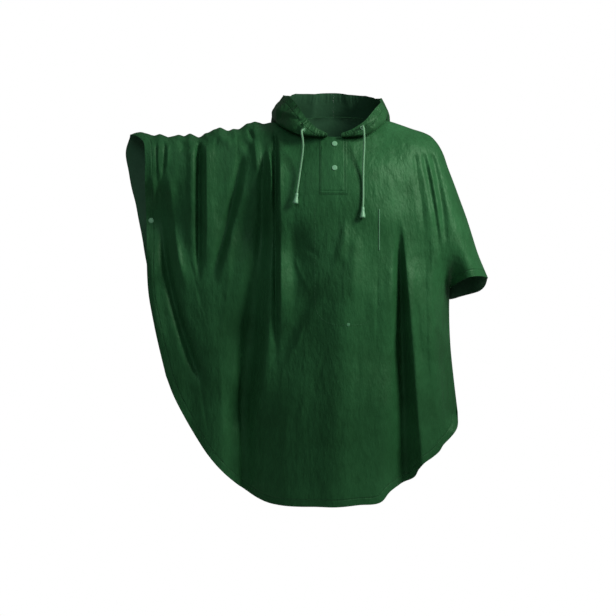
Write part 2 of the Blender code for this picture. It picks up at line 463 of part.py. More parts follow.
def row_places(length, arm_place):
    """Places of the rows down a column: close together over the shoulder and near the side snaps."""
    above = np.linspace(ROUND_ROWS[-1] / length, arm_place - SNAP_ROWS[-1] / length, ROWS_ABOVE + 1)
    below = np.linspace(arm_place + SNAP_ROWS[-1] / length, 1, ROWS_BELOW + 1)
    near = arm_place + np.array([-SNAP_ROWS[0], 0.0, SNAP_ROWS[0]]) / length
    return np.r_[np.array(ROUND_ROWS[:-1]) / length, above, near, below]


def line_length(line):
    return np.linalg.norm(np.diff(line, axis=0), axis=1).sum()


def column_ends(low):
    """Where every column leaves the shoulders and where it meets the hem."""
    stop_at = np.cumsum([stop["count"] for stop in COLUMNS])
    every = np.arange(stop_at[-1] + 1)
    return [np.interp(every, stop_at, [stop[key] for stop in COLUMNS]) for key in ("top", low)]


def panel_points(edges, back):
    """The body and the sleeve of one panel, each a grid of rows and columns of x and z."""
    tops, lows = column_ends("back" if back else "front")
    top = np.c_[tops, top_z(tops, back)]
    hem = fine(edges["hem"], 600)
    low = np.c_[lows, np.interp(lows, hem[:, 0], hem[:, 1])]
    low[0], low[-1] = edges["hem"][0], edges["hem"][-1]
    above, below = fine(edges["side_above"]), fine(edges["side_below"])
    above[0] = top[-1]
    arm_place = line_length(above) / (line_length(above) + line_length(below))
    left = fine(edges["arm"])
    count = len(tops)
    lengths = np.linalg.norm(top - low, axis=1)
    down = np.array([row_places(length, arm_place) for length in lengths]).T
    share = np.linspace(0, 1, count)
    upper, lower = down[: ROWS_TO_ARM + 1, -1], down[ROWS_TO_ARM + 1 :, -1]
    side = np.r_[through(above, upper / arm_place), through(below, (lower - arm_place) / (1 - arm_place))]
    arm = through(left, down[:, 0])
    body = np.empty((down.shape[0], count, 2))
    for j in range(count):
        v = down[:, j][:, None]
        straight = (1 - v) * top[j] + v * low[j]
        arm_bow = arm - ((1 - down[:, :1]) * top[0] + down[:, :1] * low[0])
        side_bow = side - ((1 - down[:, -1:]) * top[-1] + down[:, -1:] * low[-1])
        near_arm = 1 - smooth(share[j] / ARM_REACH)
        near_side = smooth((share[j] - 1) / SIDE_REACH + 1)
        body[:, j] = straight + near_arm * arm_bow + near_side * side_bow

    seam = fine(SHOULDER_LEFT, 400)
    shoulder = seam[(seam[:, 0] > SHOULDER_POINT_X) & (seam[:, 0] < SLEEVE_TOP_X)]
    outer = np.r_[shoulder[-1:], seam[seam[:, 0] > SLEEVE_TOP_X]]
    shoulder = np.r_[top[-1:], shoulder]
    rows = upper / arm_place
    across = np.tile(np.array(SLEEVE_COLUMNS), (len(rows), 1))
    places = np.tile(rows[:, None], (1, len(SLEEVE_COLUMNS)))
    sleeve = coons(shoulder, fine(edges["rim"]), above, outer, across, places)
    sleeve[:, 0] = body[: ROWS_TO_ARM + 1, -1]
    return body, sleeve


def between(grid, rows, columns):
    """Points of a grid at whole or part rows and columns."""
    rows, columns = np.broadcast_arrays(np.asarray(rows, float), np.asarray(columns, float))
    i = np.clip(rows.astype(int), 0, grid.shape[0] - 2)
    j = np.clip(columns.astype(int), 0, grid.shape[1] - 2)
    u, v = (rows - i)[..., None], (columns - j)[..., None]
    upper = grid[i, j] * (1 - v) + grid[i, j + 1] * v
    lower = grid[i + 1, j] * (1 - v) + grid[i + 1, j + 1] * v
    return upper * (1 - u) + lower * u


def place_in(grid, x, z):
    """The part row and column of a grid where the front view has x and z."""
    goal = np.array([x, z])
    flat = grid[..., [0, 2]]
    row, column = np.unravel_index(np.linalg.norm(flat - goal, axis=-1).argmin(), flat.shape[:2])
    for _ in range(PLACE_STEPS):
        here = between(flat, row, column)
        i, j = min(int(row), flat.shape[0] - 2), min(int(column), flat.shape[1] - 2)
        down = between(flat, i + 1, column) - between(flat, i, column)
        across = between(flat, row, j + 1) - between(flat, row, j)
        step = np.linalg.solve(np.array([down, across]).T, goal - here)
        row = float(np.clip(row + step[0], max(i - 1, 0), min(i + 2, flat.shape[0] - 1)))
        column = float(np.clip(column + step[1], max(j - 1, 0), min(j + 2, flat.shape[1] - 1)))
    return row, column


def normals(grid, outward):
    """Unit normals of a grid, turned to the outward direction."""
    across = np.cross(np.gradient(grid, axis=1), np.gradient(grid, axis=0))
    across /= np.linalg.norm(across, axis=-1, keepdims=True)
    return across * np.sign((across * outward).sum(-1).mean())


# ------------------------------------------------------------------ meshes
def material(name, colour, roughness):
    finish = bpy.data.materials.get(name)
    if finish is None:
        finish = bpy.data.materials.new(name)
        finish.use_nodes = True
        shader = finish.node_tree.nodes["Principled BSDF"]
        shader.inputs["Base Color"].default_value = (*colour, 1)
        shader.inputs["Roughness"].default_value = roughness
        finish.diffuse_color = (*colour, 1)
    return finish


def finish_object(name, mesh_data, finish):
    mesh = bpy.data.meshes.new(name)
    mesh_data.to_mesh(mesh)
    mesh_data.free()
    mesh.shade_smooth()
    mesh.set_sharp_from_angle(angle=math.radians(50))
    mesh.materials.append(material(*finish))
    piece = bpy.data.objects.new(name, mesh)
    bpy.context.scene.collection.objects.link(piece)
    return piece


def cloth(name, grids, outward, seam_axis=None, pinched=None, finish=CLOTH):
    """Joins grids of outer points into one sheet and gives it a wall on its inner side.

    Each cell is split along its shorter diagonal, the same way on both sides of the wall. Where
    the sheet ends at a seam, in the plane across seam_axis, its edge stays in that plane. At the
    pinched point, the tip of a sharp crease, the wall goes straight in.
    """
    sheet = bmesh.new()
    for grid in grids:
        points = [[sheet.verts.new(point) for point in row] for row in grid]
        for upper, lower in zip(points, points[1:]):
            for a, b, c, d in zip(upper, upper[1:], lower[1:], lower):
                if (a.co - c.co).length < (b.co - d.co).length:
                    cell = ((a, d, c), (a, c, b))
                else:
                    cell = ((a, d, b), (b, d, c))
                for corners in cell:
                    sheet.faces.new(corners)
    bmesh.ops.remove_doubles(sheet, verts=sheet.verts, dist=1e-6)
    sheet.normal_update()
    facing = sum((face.normal.dot(outward) * face.calc_area() for face in sheet.faces), 0.0)
    if facing < 0:
        bmesh.ops.reverse_faces(sheet, faces=sheet.faces)
        sheet.normal_update()
    outer_faces = list(sheet.faces)
    open_loops = [edge.link_loops[0] for edge in sheet.edges if edge.is_boundary]
    open_edges = [(loop.vert, loop.link_loop_next.vert) for loop in open_loops]
    inner = {}
    for vert in list(sheet.verts):
        inward = -vert.normal
        if seam_axis is not None and abs(abs(vert.co[seam_axis]) - SEAM_GAP / 2) < ON_SEAM:
            inward[seam_axis] = 0
            inward.normalize()
        if pinched is not None and (vert.co - Vector(pinched)).length < ON_SEAM:
            inward = -Vector(outward)
        mitre = min(vert.calc_shell_factor(), MOST_MITRE)
        inner[vert] = sheet.verts.new(vert.co + inward * WALL * mitre)
    for face in outer_faces:
        sheet.faces.new([inner[vert] for vert in reversed(face.verts)])
    for start, end in open_edges:
        sheet.faces.new((end, start, inner[start]))
        sheet.faces.new((end, inner[start], inner[end]))
    return finish_object(name, sheet, finish)


def turned(name, profile, place, axis, finish, sides=14, hole=False):
    """A round piece from a profile of radius and height, standing at a place along an axis."""
    piece = bmesh.new()
    axis = np.array(axis) / np.linalg.norm(axis)
    first = np.cross(axis, (0.0, 0.0, 1.0) if abs(axis[2]) < 0.9 else (1.0, 0.0, 0.0))
    first /= np.linalg.norm(first)
    second = np.cross(axis, first)
    rings = []
    for radius, height in profile:
        turn = [math.tau * i / sides for i in range(sides)]
        rings.append([
            piece.verts.new(np.array(place) + axis * height
                            + radius * (math.cos(angle) * first + math.sin(angle) * second))
            for angle in turn
        ])  # fmt: skip
    pairs = list(zip(rings, rings[1:] + rings[:1])) if hole else list(zip(rings, rings[1:]))
    for lower, upper in pairs:
        for i in range(sides):
            piece.faces.new((lower[i - 1], lower[i], upper[i], upper[i - 1]))
    if not hole:
        piece.faces.new(rings[0][::-1])
        piece.faces.new(rings[-1])
    bmesh.ops.recalc_face_normals(piece, faces=piece.faces)
    return finish_object(name, piece, finish)


def snap(name, place, axis, radius=SNAP_RADIUS, height=SNAP_HEIGHT):
    profile = [(radius * share, height * up) for share, up in SNAP_PROFILE]
    return turned(name, profile, place, axis, SNAP_PLASTIC)


# ------------------------------------------------------------------ panels and what lies on them
def build_panels():
    panels = (Panel(FRONT_STATIONS, FRONT_FOLDS, FRONT_EDGES, back=False),
              Panel(BACK_STATIONS, BACK_FOLDS, BACK_EDGES, back=True))  # fmt: skip
    bodies = []
    for name, panel in zip(("front_panel", "back_panel"), panels):
        flat = panel_points(panel.edges, panel.back)
        body, sleeve = (panel.points(grid[..., 0], grid[..., 1]) for grid in flat)
        cloth(name, [body, sleeve], panel.outward, seam_axis=1, pinched=sleeve[-1, 0])
        bodies.append(body)
    return *bodies, panels


def patch(grid, rows, columns, lift):
    """Part of a panel's own points, moved out from it, or in where lift is below 0."""
    lifted = grid + normals(grid, (0, math.copysign(1, grid[..., 1].mean()), 0)) * lift
    return between(lifted, rows, columns)


def seat(grid, row, column, outward, radius):
    """Where a round piece stands on a grid of points, clear of the cloth under it, and its axis."""
    facing = normals(grid, outward)
    middle, axis = between(grid, row, column), between(facing, row, column)
    axis = axis / np.linalg.norm(axis)
    rows = np.clip(np.linspace(row - 1.5, row + 1.5, 61), 0, grid.shape[0] - 1)
    columns = np.clip(np.linspace(column - 2, column + 2, 81), 0, grid.shape[1] - 1)
    near = between(grid, rows[:, None], columns[None, :]) - middle
    height = near @ axis
    under = np.linalg.norm(near - height[..., None] * axis, axis=-1) < radius * 1.2
    return middle + axis * (height[under].max() + LAP_GAP), axis


def steps_between(start, end):
    """The start, every whole number after it, and the end."""
    return np.array([start, *range(math.floor(start) + 1, math.ceil(end)), end], float)


def build_placket(front):
    top_row, left = place_in(front, PLACKET_LEFT, PLACKET_TOP)
    _, right = place_in(front, PLACKET_RIGHT, PLACKET_TOP)
    foot_row, _ = place_in(front, PLACKET_LEFT, PLACKET_FOOT)
    rows, columns = steps_between(top_row, foot_row), steps_between(round(left), round(right))
    points = patch(front, rows[:, None], columns[None, :], LAP_GAP + WALL)
    cloth("placket", [points], FRONTWARD)
    for name, z in PLACKET_SNAPS.items():
        place, axis = seat(front, *place_in(front, 0.0, z), FRONTWARD, SNAP_RADIUS)
        snap(f"placket_snap_{name}", place + axis * (LAP_GAP + WALL), axis)


def build_pocket(front):
    """The bag hangs behind the front, its outer corners rounded; the welt lies in front."""
    edge_turns = np.linspace(0, math.pi / 2, 5)
    heights = list(np.linspace(POCKET_TOP, POCKET_FOOT + POCKET_CORNER, POCKET_ROWS))
    heights += [POCKET_FOOT + POCKET_CORNER * (1 - math.sin(turn)) for turn in edge_turns[1:]]
    insets = [0.0] * POCKET_ROWS + [POCKET_CORNER * (1 - math.cos(turn)) for turn in edge_turns[1:]]
    places = []
    for z, inset in zip(heights, insets):
        across = np.linspace(POCKET_LEFT + inset, POCKET_RIGHT - inset, POCKET_COLUMNS)
        places.append([place_in(front, x, z) for x in across])
    rows, columns = np.moveaxis(np.array(places), -1, 0)
    bag = patch(front, rows, columns, -(WALL + BAG_GAP))
    cloth("pocket_bag", [bag], FRONTWARD)

    half = WELT_WIDTH / 2
    places = [
        [place_in(front, x, z) for x in (POCKET_RIGHT - half, POCKET_RIGHT, POCKET_RIGHT + half)]
        for z in np.linspace(WELT_TOP, WELT_FOOT, WELT_ROWS)
    ]
    rows, columns = np.moveaxis(np.array(places), -1, 0)
    welt = patch(front, rows, columns, LAP_GAP + WALL)
    cloth("pocket_welt", [welt], FRONTWARD, finish=CORD_GREEN)

    place, axis = seat(front, *place_in(front, *RIVET_PLACE), FRONTWARD, RIVET_RADIUS)
    snap("pocket_rivet", place, axis, RIVET_RADIUS, RIVET_HEIGHT)


def build_side_snaps(front, back):
    """A cap on each face at the right; at the left one on the back, for the front's half is inside."""
    for side, grid, outward in (("front", front, FRONTWARD), ("back", back, BACKWARD)):
        snap(f"side_snap_right_{side}", *seat(grid, *place_in(grid, *RIGHT_SNAP), outward, SNAP_RADIUS))
    row, column = ROWS_TO_ARM + LEFT_SNAP_PLACE[0], back.shape[1] - 1 - LEFT_SNAP_PLACE[1]
    snap("side_snap_left_back", *seat(back, row, column, BACKWARD, SNAP_RADIUS))


# ------------------------------------------------------------------ hood
def neck_rim(grid, outward):
    """The neck cut of a panel, moved off its edge and off its face."""
    edge, facing = grid[0], normals(grid, outward)[0]
    away = np.cross(np.gradient(edge, axis=0), facing)
    away /= np.linalg.norm(away, axis=-1, keepdims=True)
    away *= np.sign((away * (grid[0] - grid[1])).sum(-1, keepdims=True))
    return edge[:, 0], edge + (away + facing) * HOOD_LIFT


def neck_ring(front, back, side):
    """The neck seam of one half, from the front's opening round to the middle of the back."""
    ring = []
    starts = ((front, FRONTWARD, HOOD_OPENING, HOOD_CELL), (back, BACKWARD, 0.0, 0.0))
    for grid, outward, start, cell in starts:
        x, rim = neck_rim(grid, outward)
        first = [np.interp(side * start, x, rim[:, k]) for k in range(3)]
        rim = rim[(np.abs(x) < NECK_HALF_WIDTH - ON_SEAM) & (x * side > start + cell)]
        ring.append(np.array([first, *rim[np.argsort(rim[:, 0] * side)]]))
    corner = [side * (NECK_HALF_WIDTH - HOOD_LIFT), 0.0, NECK_SIDE_Z + 2 * HOOD_LIFT]
    ring = np.array([*ring[0], corner, *ring[1][::-1]])
    middles = (ring[:-1] + ring[1:]) / 2
    return np.insert(ring, np.arange(1, len(ring)), middles, axis=0)


def ring_places(ring, side):
    """Place of every point of the ring: 0 at the front, 1 at the side, 2 at the back's middle."""
    run = np.r_[0.0, np.cumsum(np.linalg.norm(np.diff(ring, axis=0), axis=1))]
    corner = run[np.argmin(np.abs(ring[:, 1]))]
    return np.where(run < corner, run / corner, 1 + (run - corner) / (run[-1] - corner))


def spread(values, places, at):
    """A smooth curve through values that stand at uneven places."""
    slope = np.gradient(values, places, axis=0)
    i = np.clip(np.searchsorted(places, at, side="right") - 1, 0, len(places) - 2)
    step = (places[i + 1] - places[i])[:, None]
    t = ((at - places[i]) / step[:, 0])[:, None]
    start = (1 + 2 * t) * (1 - t) ** 2 * values[i] + t * (1 - t) ** 2 * step * slope[i]
    return start + t * t * (3 - 2 * t) * values[i + 1] + t * t * (t - 1) * step * slope[i + 1]


def hood_section(section, neck):
    """Points of one section: neck seam, under layer, the turn where they are close, wall, face edge."""
    turn, wall, edge = (np.array(section[key]) for key in ("turn", "wall", "edge"))
    under = turn - (turn - neck) / np.linalg.norm(turn - neck) * section["round"]
    rise = turn + (wall - turn) / np.linalg.norm(wall - turn) * section["round"]
    points = np.array([neck, (neck + turn) / 2 + (0, 0, HOOD_SAG), under, rise, wall, edge])
    run = np.r_[0.0, np.cumsum(np.linalg.norm(np.diff(points, axis=0), axis=1))]
    return through(points, np.interp(HOOD_STEPS, np.arange(len(points)), run / run[-1]))


def hood_grid(sections, ring, side, panels):
    """A grid from the neck seam up to the face edge, and from the front to the middle of the back."""
    run = ring_places(ring, side)
    places = np.array([section["neck"] for section in sections])
    necks = np.stack([np.interp(places, run, ring[:, k]) for k in range(3)], -1)
    outlines = [hood_section(*pair) for pair in zip(sections, necks)]
    mirrored = outlines[-2] * (-1, 1, 1)
    places = np.append(places, 2 * places[-1] - places[-2])
    grid = np.stack([spread(np.array(points), places, run) for points in zip(*outlines, mirrored)])
    for panel in panels:
        grid = panel.cleared(grid, HOOD_CLEARANCE)
    grid[0] = ring
    grid[:, -1, 0] = side * SEAM_GAP / 2
    return grid


def build_hood(front, back, panels):
    """Two halves, sewn together from the neck over the crown to the face edge."""
    halves = {}
    for name, sections, side in (("right", HOOD_RIGHT, -1), ("left", HOOD_LEFT, 1)):
        halves[name] = hood_grid(sections, neck_ring(front, back, side), side, panels)
        cloth(f"hood_{name}", [halves[name]], (side, 0, 0), seam_axis=0)
    return halves


# ------------------------------------------------------------------ drawcords
def build_drawcord(side, half):
    """An eyelet in the hood, the cord that hangs from it, and the bell on the cord's end."""
    rows, columns = HOOD_FRONT
    face = half[rows:, :columns]
    place, axis = seat(face, *place_in(face, *EYELETS[side]), FRONTWARD, EYELET_RADIUS)
    profile = [(EYELET_HOLE, 0), (EYELET_RADIUS, 0), (EYELET_RADIUS * 0.9, EYELET_HEIGHT),
               (EYELET_HOLE * 1.1, EYELET_HEIGHT)]  # fmt: skip
    turned(f"eyelet_{side}", profile, place, axis, SNAP_PLASTIC, hole=True)

    route = np.array(CORD_ROUTES[side])
    count = round(line_length(route) / (CORD_DIAMETER * CORD_POINT_GAP)) + 1
    points = through(route, np.linspace(0, 1, count))
    cord = bpy.data.curves.new(f"drawcord_{side}", "CURVE")
    cord.dimensions = "3D"
    cord.bevel_depth = CORD_DIAMETER / 2
    cord.bevel_resolution = 2
    cord.use_fill_caps = True
    spline = cord.splines.new("POLY")
    spline.points.add(count - 1)
    for spline_point, point in zip(spline.points, points):
        spline_point.co = (*point, 1)
    cord.materials.append(material(*CORD_GREEN))
    bpy.context.scene.collection.objects.link(bpy.data.objects.new(cord.name, cord))

    way = (points[-1] - points[-2]) / np.linalg.norm(points[-1] - points[-2])
    turned(f"cord_bell_{side}", BELL_PROFILE, points[-1] + way * CORD_JOIN, way, SNAP_PLASTIC)


# ------------------------------------------------------------------ build
def main():
    for old in list(bpy.data.objects):
        bpy.data.objects.remove(old)
    front, back, panels = build_panels()
    build_placket(front)
    build_pocket(front)
    build_side_snaps(front, back)
    halves = build_hood(front, back, panels)
    for side, half in halves.items():
        build_drawcord(side, half)


main()
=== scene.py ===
import math

import bmesh
import bpy
import numpy as np
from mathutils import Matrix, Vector
from mathutils.kdtree import KDTree


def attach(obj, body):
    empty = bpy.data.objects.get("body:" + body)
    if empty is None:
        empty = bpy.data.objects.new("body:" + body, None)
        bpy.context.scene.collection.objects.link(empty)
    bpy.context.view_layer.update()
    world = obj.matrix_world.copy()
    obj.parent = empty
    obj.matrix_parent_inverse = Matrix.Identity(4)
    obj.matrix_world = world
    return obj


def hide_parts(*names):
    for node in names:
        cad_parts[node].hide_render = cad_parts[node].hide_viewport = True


# Rain poncho with a hood, worn with no wearer: thin coated nylon, light green snaps and drawcords.
# Metres, +Z up, +X to the wearer's left, front towards -Y, origin in the middle of the neck opening.

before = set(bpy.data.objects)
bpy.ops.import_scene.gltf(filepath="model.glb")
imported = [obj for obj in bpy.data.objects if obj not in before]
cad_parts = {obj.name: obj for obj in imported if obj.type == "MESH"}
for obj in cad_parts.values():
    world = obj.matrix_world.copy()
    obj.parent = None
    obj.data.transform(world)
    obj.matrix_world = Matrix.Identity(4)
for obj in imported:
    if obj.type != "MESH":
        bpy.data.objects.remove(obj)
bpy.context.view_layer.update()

# ------------------------------------------------------------------ sizes
CLOTH_WALL = 0.0007
SEAM_GAP = 0.00004
LAP = 0.0004  # from one layer's outer face to the inside of the layer on it
ON_LINE = 1e-6  # a point this near to a line is on it
MERGE = 1e-6  # points nearer to each other than this are one
LINE_STEP = 0.0015  # between the points of edge and stitch lines
NO_HEM = 0.1  # the edge attribute of cloth with no hem near

SHOULDER_ROUND = 0.048  # how far in from the shoulder seam the cloth turns to hang
SIDE_ROUND = 0.062  # the same at the closed left side
SNAP_PULL = 0.5  # how much further the left side snap pulls the cloth upwards than sideways
PINCH = 0.075  # reach of the pull of the right side snap
RIGHT_SNAP = (-0.475, -0.242)
SNAP_DEPTH = 0.0030
SIDE_EDGE_DEPTH, SIDE_EDGE_RUN = 0.004, 0.15

NECK_HALF_WIDTH = 0.105
NECK_SIDE_Z = 0.022
NECK_FRONT_DROP = 0.053
NECK_BACK_RISE = 0.013

ROWS_TURN, ROWS_ABOVE, ROWS_BELOW = 12, 66, 44  # over the shoulder, down to the side snaps, down to the hem
COLUMNS_FINER, SLEEVE_FINER = 6, 4
ARM_REACH, SIDE_REACH = 0.35, 0.45  # share of the columns that bend with the edge at either end

HEM_WIDTH = 0.018
HEM_KEPT = 0.96  # stitches nearer to the edge than this share of the hem are left out
CASING_WIDTH = 0.019
STITCH, STITCH_GAP, THREAD = 0.0030, 0.0012, 0.00055
STITCH_FULL = 0.55  # share of a stitch that is at full thickness
STITCH_DIP, STITCH_RISE = 0.3, 0.15  # of its ends and its middle, in thread thicknesses
STITCH_LIFT, PLACKET_STITCH_LIFT, POCKET_STITCH_LIFT = 0.0001, 0.0004, 0.0003

PLACKET_LEFT, PLACKET_RIGHT = -0.037, 0.033
PLACKET_TOP, PLACKET_FOOT = -0.037, -0.179
POCKET_LEFT, POCKET_RIGHT = -0.050, 0.113
POCKET_TOP, POCKET_FOOT = -0.212, -0.511
POCKET_CORNER = 0.058
PLACKET_PUFF, PLACKET_FOLD = 0.0009, 0.006  # height of its middle, and how wide its pressed edge is
PLACKET_STITCHES, PLACKET_STITCH_TOP = (0.0022, 0.0078), 0.004  # insets of its two stitch lines, and below its top
STITCH_PRESS, STITCH_PRESS_REACH = 0.9, 0.0018  # share of the puff that the stitches press flat
BAG_GAP = 0.0040
WELT_WIDTH, WELT_TOP, WELT_FOOT, WELT_CROWN = 0.0034, -0.217, -0.321, 0.0008
PLACKET_GRID, POCKET_GRID, WELT_GRID = (70, 130), (34, 60), (9, 70)  # points across and down

SNAP_RADIUS, SNAP_HEIGHT = 0.0068, 0.0026
RIVET_RADIUS, RIVET_HEIGHT = 0.0044, 0.0018
EYELET_RADIUS, EYELET_HOLE, EYELET_HEIGHT = 0.0056, 0.0033, 0.0016
CORD_DIAMETER = 0.0052
CORD_RINGS, CORD_SIDES = 160, 20
BELL_GAP = 0.0003  # from the cord's end to the bell
SNAP_FACE = ((0.30, 0.0), (0.08, -0.22), (0.35, 0.06))  # each an inset by radius and a rise by height
SNAP_ROUND = 0.28  # width of its bevels by height


def table(names, rows):
    """A short table: each row by the names of its columns."""
    return [dict(zip(names.split(), row)) for row in rows]


# ------------------------------------------------------------------ camera, light and drawcords
AIM = (-0.0676, 0.0, -0.468)
CAMERA_DISTANCE, CAMERA_LENS = 6.0, 135
FLOOR_Z = -1.45
FLOOR_RADIUS = 1.25
WALL_LIGHT, FLOOR_LIGHT = 0.10, 0.12
LIGHTS = table("name place target size power colour spread", [  # soft boxes, in watts and degrees
    ("key", (1.45, -0.95, 0.80), (0.21, 0, -0.18), (0.6, 0.8), 7.2, "#fffaf2", 80),
    ("fill", (-0.9, -2.4, 1.2), (-0.40, 0, 0.05), (1.2, 1.2), 1.18, "#f2f7ff", 55),
    ("top", (0.3, 0.3, 2.4), (0, 0, -0.2), (1.4, 1.4), 3.0, "#ffffff", 180),
    ("back", (0, 2.6, -1.0), (0, 0, -0.4), (0.7, 0.5), 9.0, "#f7faff", 180),
])  # fmt: skip

CORD_ROUTES = {  # from the eyelet down to the bell
    "right": [(-0.0798, -0.1126, -0.0140), (-0.0812, -0.1178, -0.0142), (-0.0825, -0.1224, -0.0153),
              (-0.0833, -0.1266, -0.0179), (-0.0835, -0.1298, -0.0218), (-0.0830, -0.1316, -0.0270),
              (-0.0818, -0.1321, -0.0340), (-0.0805, -0.1321, -0.0450), (-0.0802, -0.1320, -0.0600),
              (-0.0814, -0.1319, -0.0750), (-0.0834, -0.1319, -0.0900), (-0.0856, -0.1320, -0.1050),
              (-0.0877, -0.1325, -0.1200), (-0.0896, -0.1339, -0.1340), (-0.0915, -0.1364, -0.1480),
              (-0.0936, -0.1392, -0.1620), (-0.0957, -0.1419, -0.1765)],
    "left": [(0.0704, -0.1102, -0.0088), (0.0707, -0.1149, -0.0065), (0.0712, -0.1199, -0.0049),
             (0.0719, -0.1250, -0.0050), (0.0727, -0.1297, -0.0074), (0.0736, -0.1332, -0.0122),
             (0.0744, -0.1351, -0.0190), (0.0749, -0.1354, -0.0260), (0.0754, -0.1352, -0.0360),
             (0.0755, -0.1349, -0.0500), (0.0752, -0.1346, -0.0650), (0.0743, -0.1343, -0.0800),
             (0.0735, -0.1341, -0.0960), (0.0730, -0.1342, -0.1120), (0.0727, -0.1347, -0.1280),
             (0.0726, -0.1360, -0.1440), (0.0726, -0.1382, -0.1600), (0.0726, -0.1407, -0.1770),
             (0.0723, -0.1433, -0.1950), (0.0716, -0.1461, -0.2125)],
}  # fmt: skip

# ------------------------------------------------------------------ outlines in the front view, x and z
SHOULDER_RIGHT = [  # arm end to neck, along the top of the level arm, with its gathers
    (-0.540, -0.020), (-0.530, -0.018), (-0.515, -0.013), (-0.484, -0.016), (-0.437, -0.020),
    (-0.406, -0.021), (-0.374, -0.018), (-0.343, -0.021), (-0.328, -0.013), (-0.296, -0.003),
    (-0.265, -0.005), (-0.234, 0.003), (-0.213, 0.013), (-0.172, 0.012), (-0.105, 0.022),
]  # fmt: skip
SHOULDER_LEFT = [  # neck to sleeve end, down the outside of the hanging arm
    (0.105, 0.022), (0.140, 0.018), (0.172, 0.008), (0.203, -0.003), (0.234, -0.013),
    (0.250, -0.021), (0.265, -0.036), (0.281, -0.062), (0.296, -0.104), (0.312, -0.146),
    (0.328, -0.190), (0.343, -0.231), (0.359, -0.281), (0.374, -0.328), (0.390, -0.367),
    (0.400, -0.390),
]  # fmt: skip
SHOULDER_GATHERS = [  # x, height and half width of the small bumps along the level arm's seam
    (-0.501, 0.0022, 0.008), (-0.470, -0.0030, 0.009), (-0.452, 0.0030, 0.007), (-0.431, -0.0036, 0.010),
    (-0.404, 0.0030, 0.008), (-0.389, -0.0024, 0.006), (-0.374, 0.0032, 0.007), (-0.352, -0.0030, 0.007),
    (-0.336, 0.0026, 0.006), (-0.312, 0.0022, 0.008), (-0.297, 0.0040, 0.008), (-0.276, -0.0028, 0.008),
    (-0.262, 0.0022, 0.006), (-0.247, -0.0018, 0.006), (-0.228, 0.0045, 0.009), (-0.206, 0.0020, 0.007),
    (-0.184, -0.0022, 0.007), (-0.165, 0.0016, 0.007),
]  # fmt: skip
BACK_ARCH = [(-0.070, 0.055), (0.000, 0.075), (0.070, 0.055)]  # of the shoulder line, behind the neck
SHOULDER_POINT_X = 0.255  # where the left shoulder turns down
SLEEVE_TOP_X = 0.281  # where the sleeve's outer edge starts

FRONT_EDGES = {
    "arm": [(-0.530, -0.018), (-0.511, -0.023), (-0.494, -0.036), (-0.488, -0.073), (-0.488, -0.138),
            (-0.488, -0.202), (-0.487, -0.242), (-0.485, -0.305), (-0.484, -0.369), (-0.481, -0.424),
            (-0.466, -0.509), (-0.450, -0.582), (-0.435, -0.643)],
    "hem": [(-0.435, -0.643), (-0.416, -0.692), (-0.388, -0.746), (-0.356, -0.800), (-0.325, -0.846),
            (-0.294, -0.882), (-0.263, -0.911), (-0.232, -0.935), (-0.201, -0.954), (-0.170, -0.966),
            (-0.139, -0.971), (-0.093, -0.973), (-0.047, -0.972), (0.000, -0.972), (0.059, -0.967),
            (0.122, -0.957), (0.139, -0.937), (0.168, -0.918), (0.206, -0.897), (0.215, -0.878),
            (0.228, -0.863), (0.251, -0.848), (0.269, -0.833), (0.278, -0.819), (0.297, -0.801),
            (0.316, -0.775), (0.321, -0.738)],
    "side_above": [(0.255, -0.025), (0.263, -0.140), (0.275, -0.294), (0.300, -0.417)],
    "side_below": [(0.300, -0.417), (0.299, -0.473), (0.302, -0.564), (0.311, -0.655), (0.321, -0.738)],
    "rim": [(0.300, -0.417), (0.307, -0.411), (0.316, -0.404), (0.334, -0.394), (0.351, -0.388),
            (0.369, -0.386), (0.386, -0.387), (0.400, -0.390)],
}  # fmt: skip
BACK_EDGES = {
    "arm": [(-0.530, -0.018), (-0.544, -0.055), (-0.537, -0.112), (-0.529, -0.154), (-0.517, -0.196),
            (-0.508, -0.239), (-0.500, -0.280), (-0.494, -0.322), (-0.486, -0.369), (-0.481, -0.424),
            (-0.465, -0.509), (-0.433, -0.643)],
    "hem": [(-0.433, -0.643), (-0.386, -0.742), (-0.322, -0.842), (-0.260, -0.908), (-0.200, -0.950),
            (-0.139, -0.968), (-0.047, -0.970), (0.060, -0.964), (0.125, -0.949), (0.190, -0.908),
            (0.245, -0.853), (0.292, -0.795), (0.311, -0.765), (0.316, -0.734)],
    "side_above": [(0.255, -0.025), (0.263, -0.140), (0.275, -0.294), (0.299, -0.446)],
    "side_below": [(0.299, -0.446), (0.297, -0.482), (0.298, -0.564), (0.307, -0.655), (0.316, -0.734)],
    "rim": [(0.299, -0.446), (0.312, -0.444), (0.330, -0.439), (0.349, -0.434), (0.368, -0.429),
            (0.384, -0.423), (0.394, -0.414), (0.399, -0.403), (0.400, -0.390)],
}  # fmt: skip

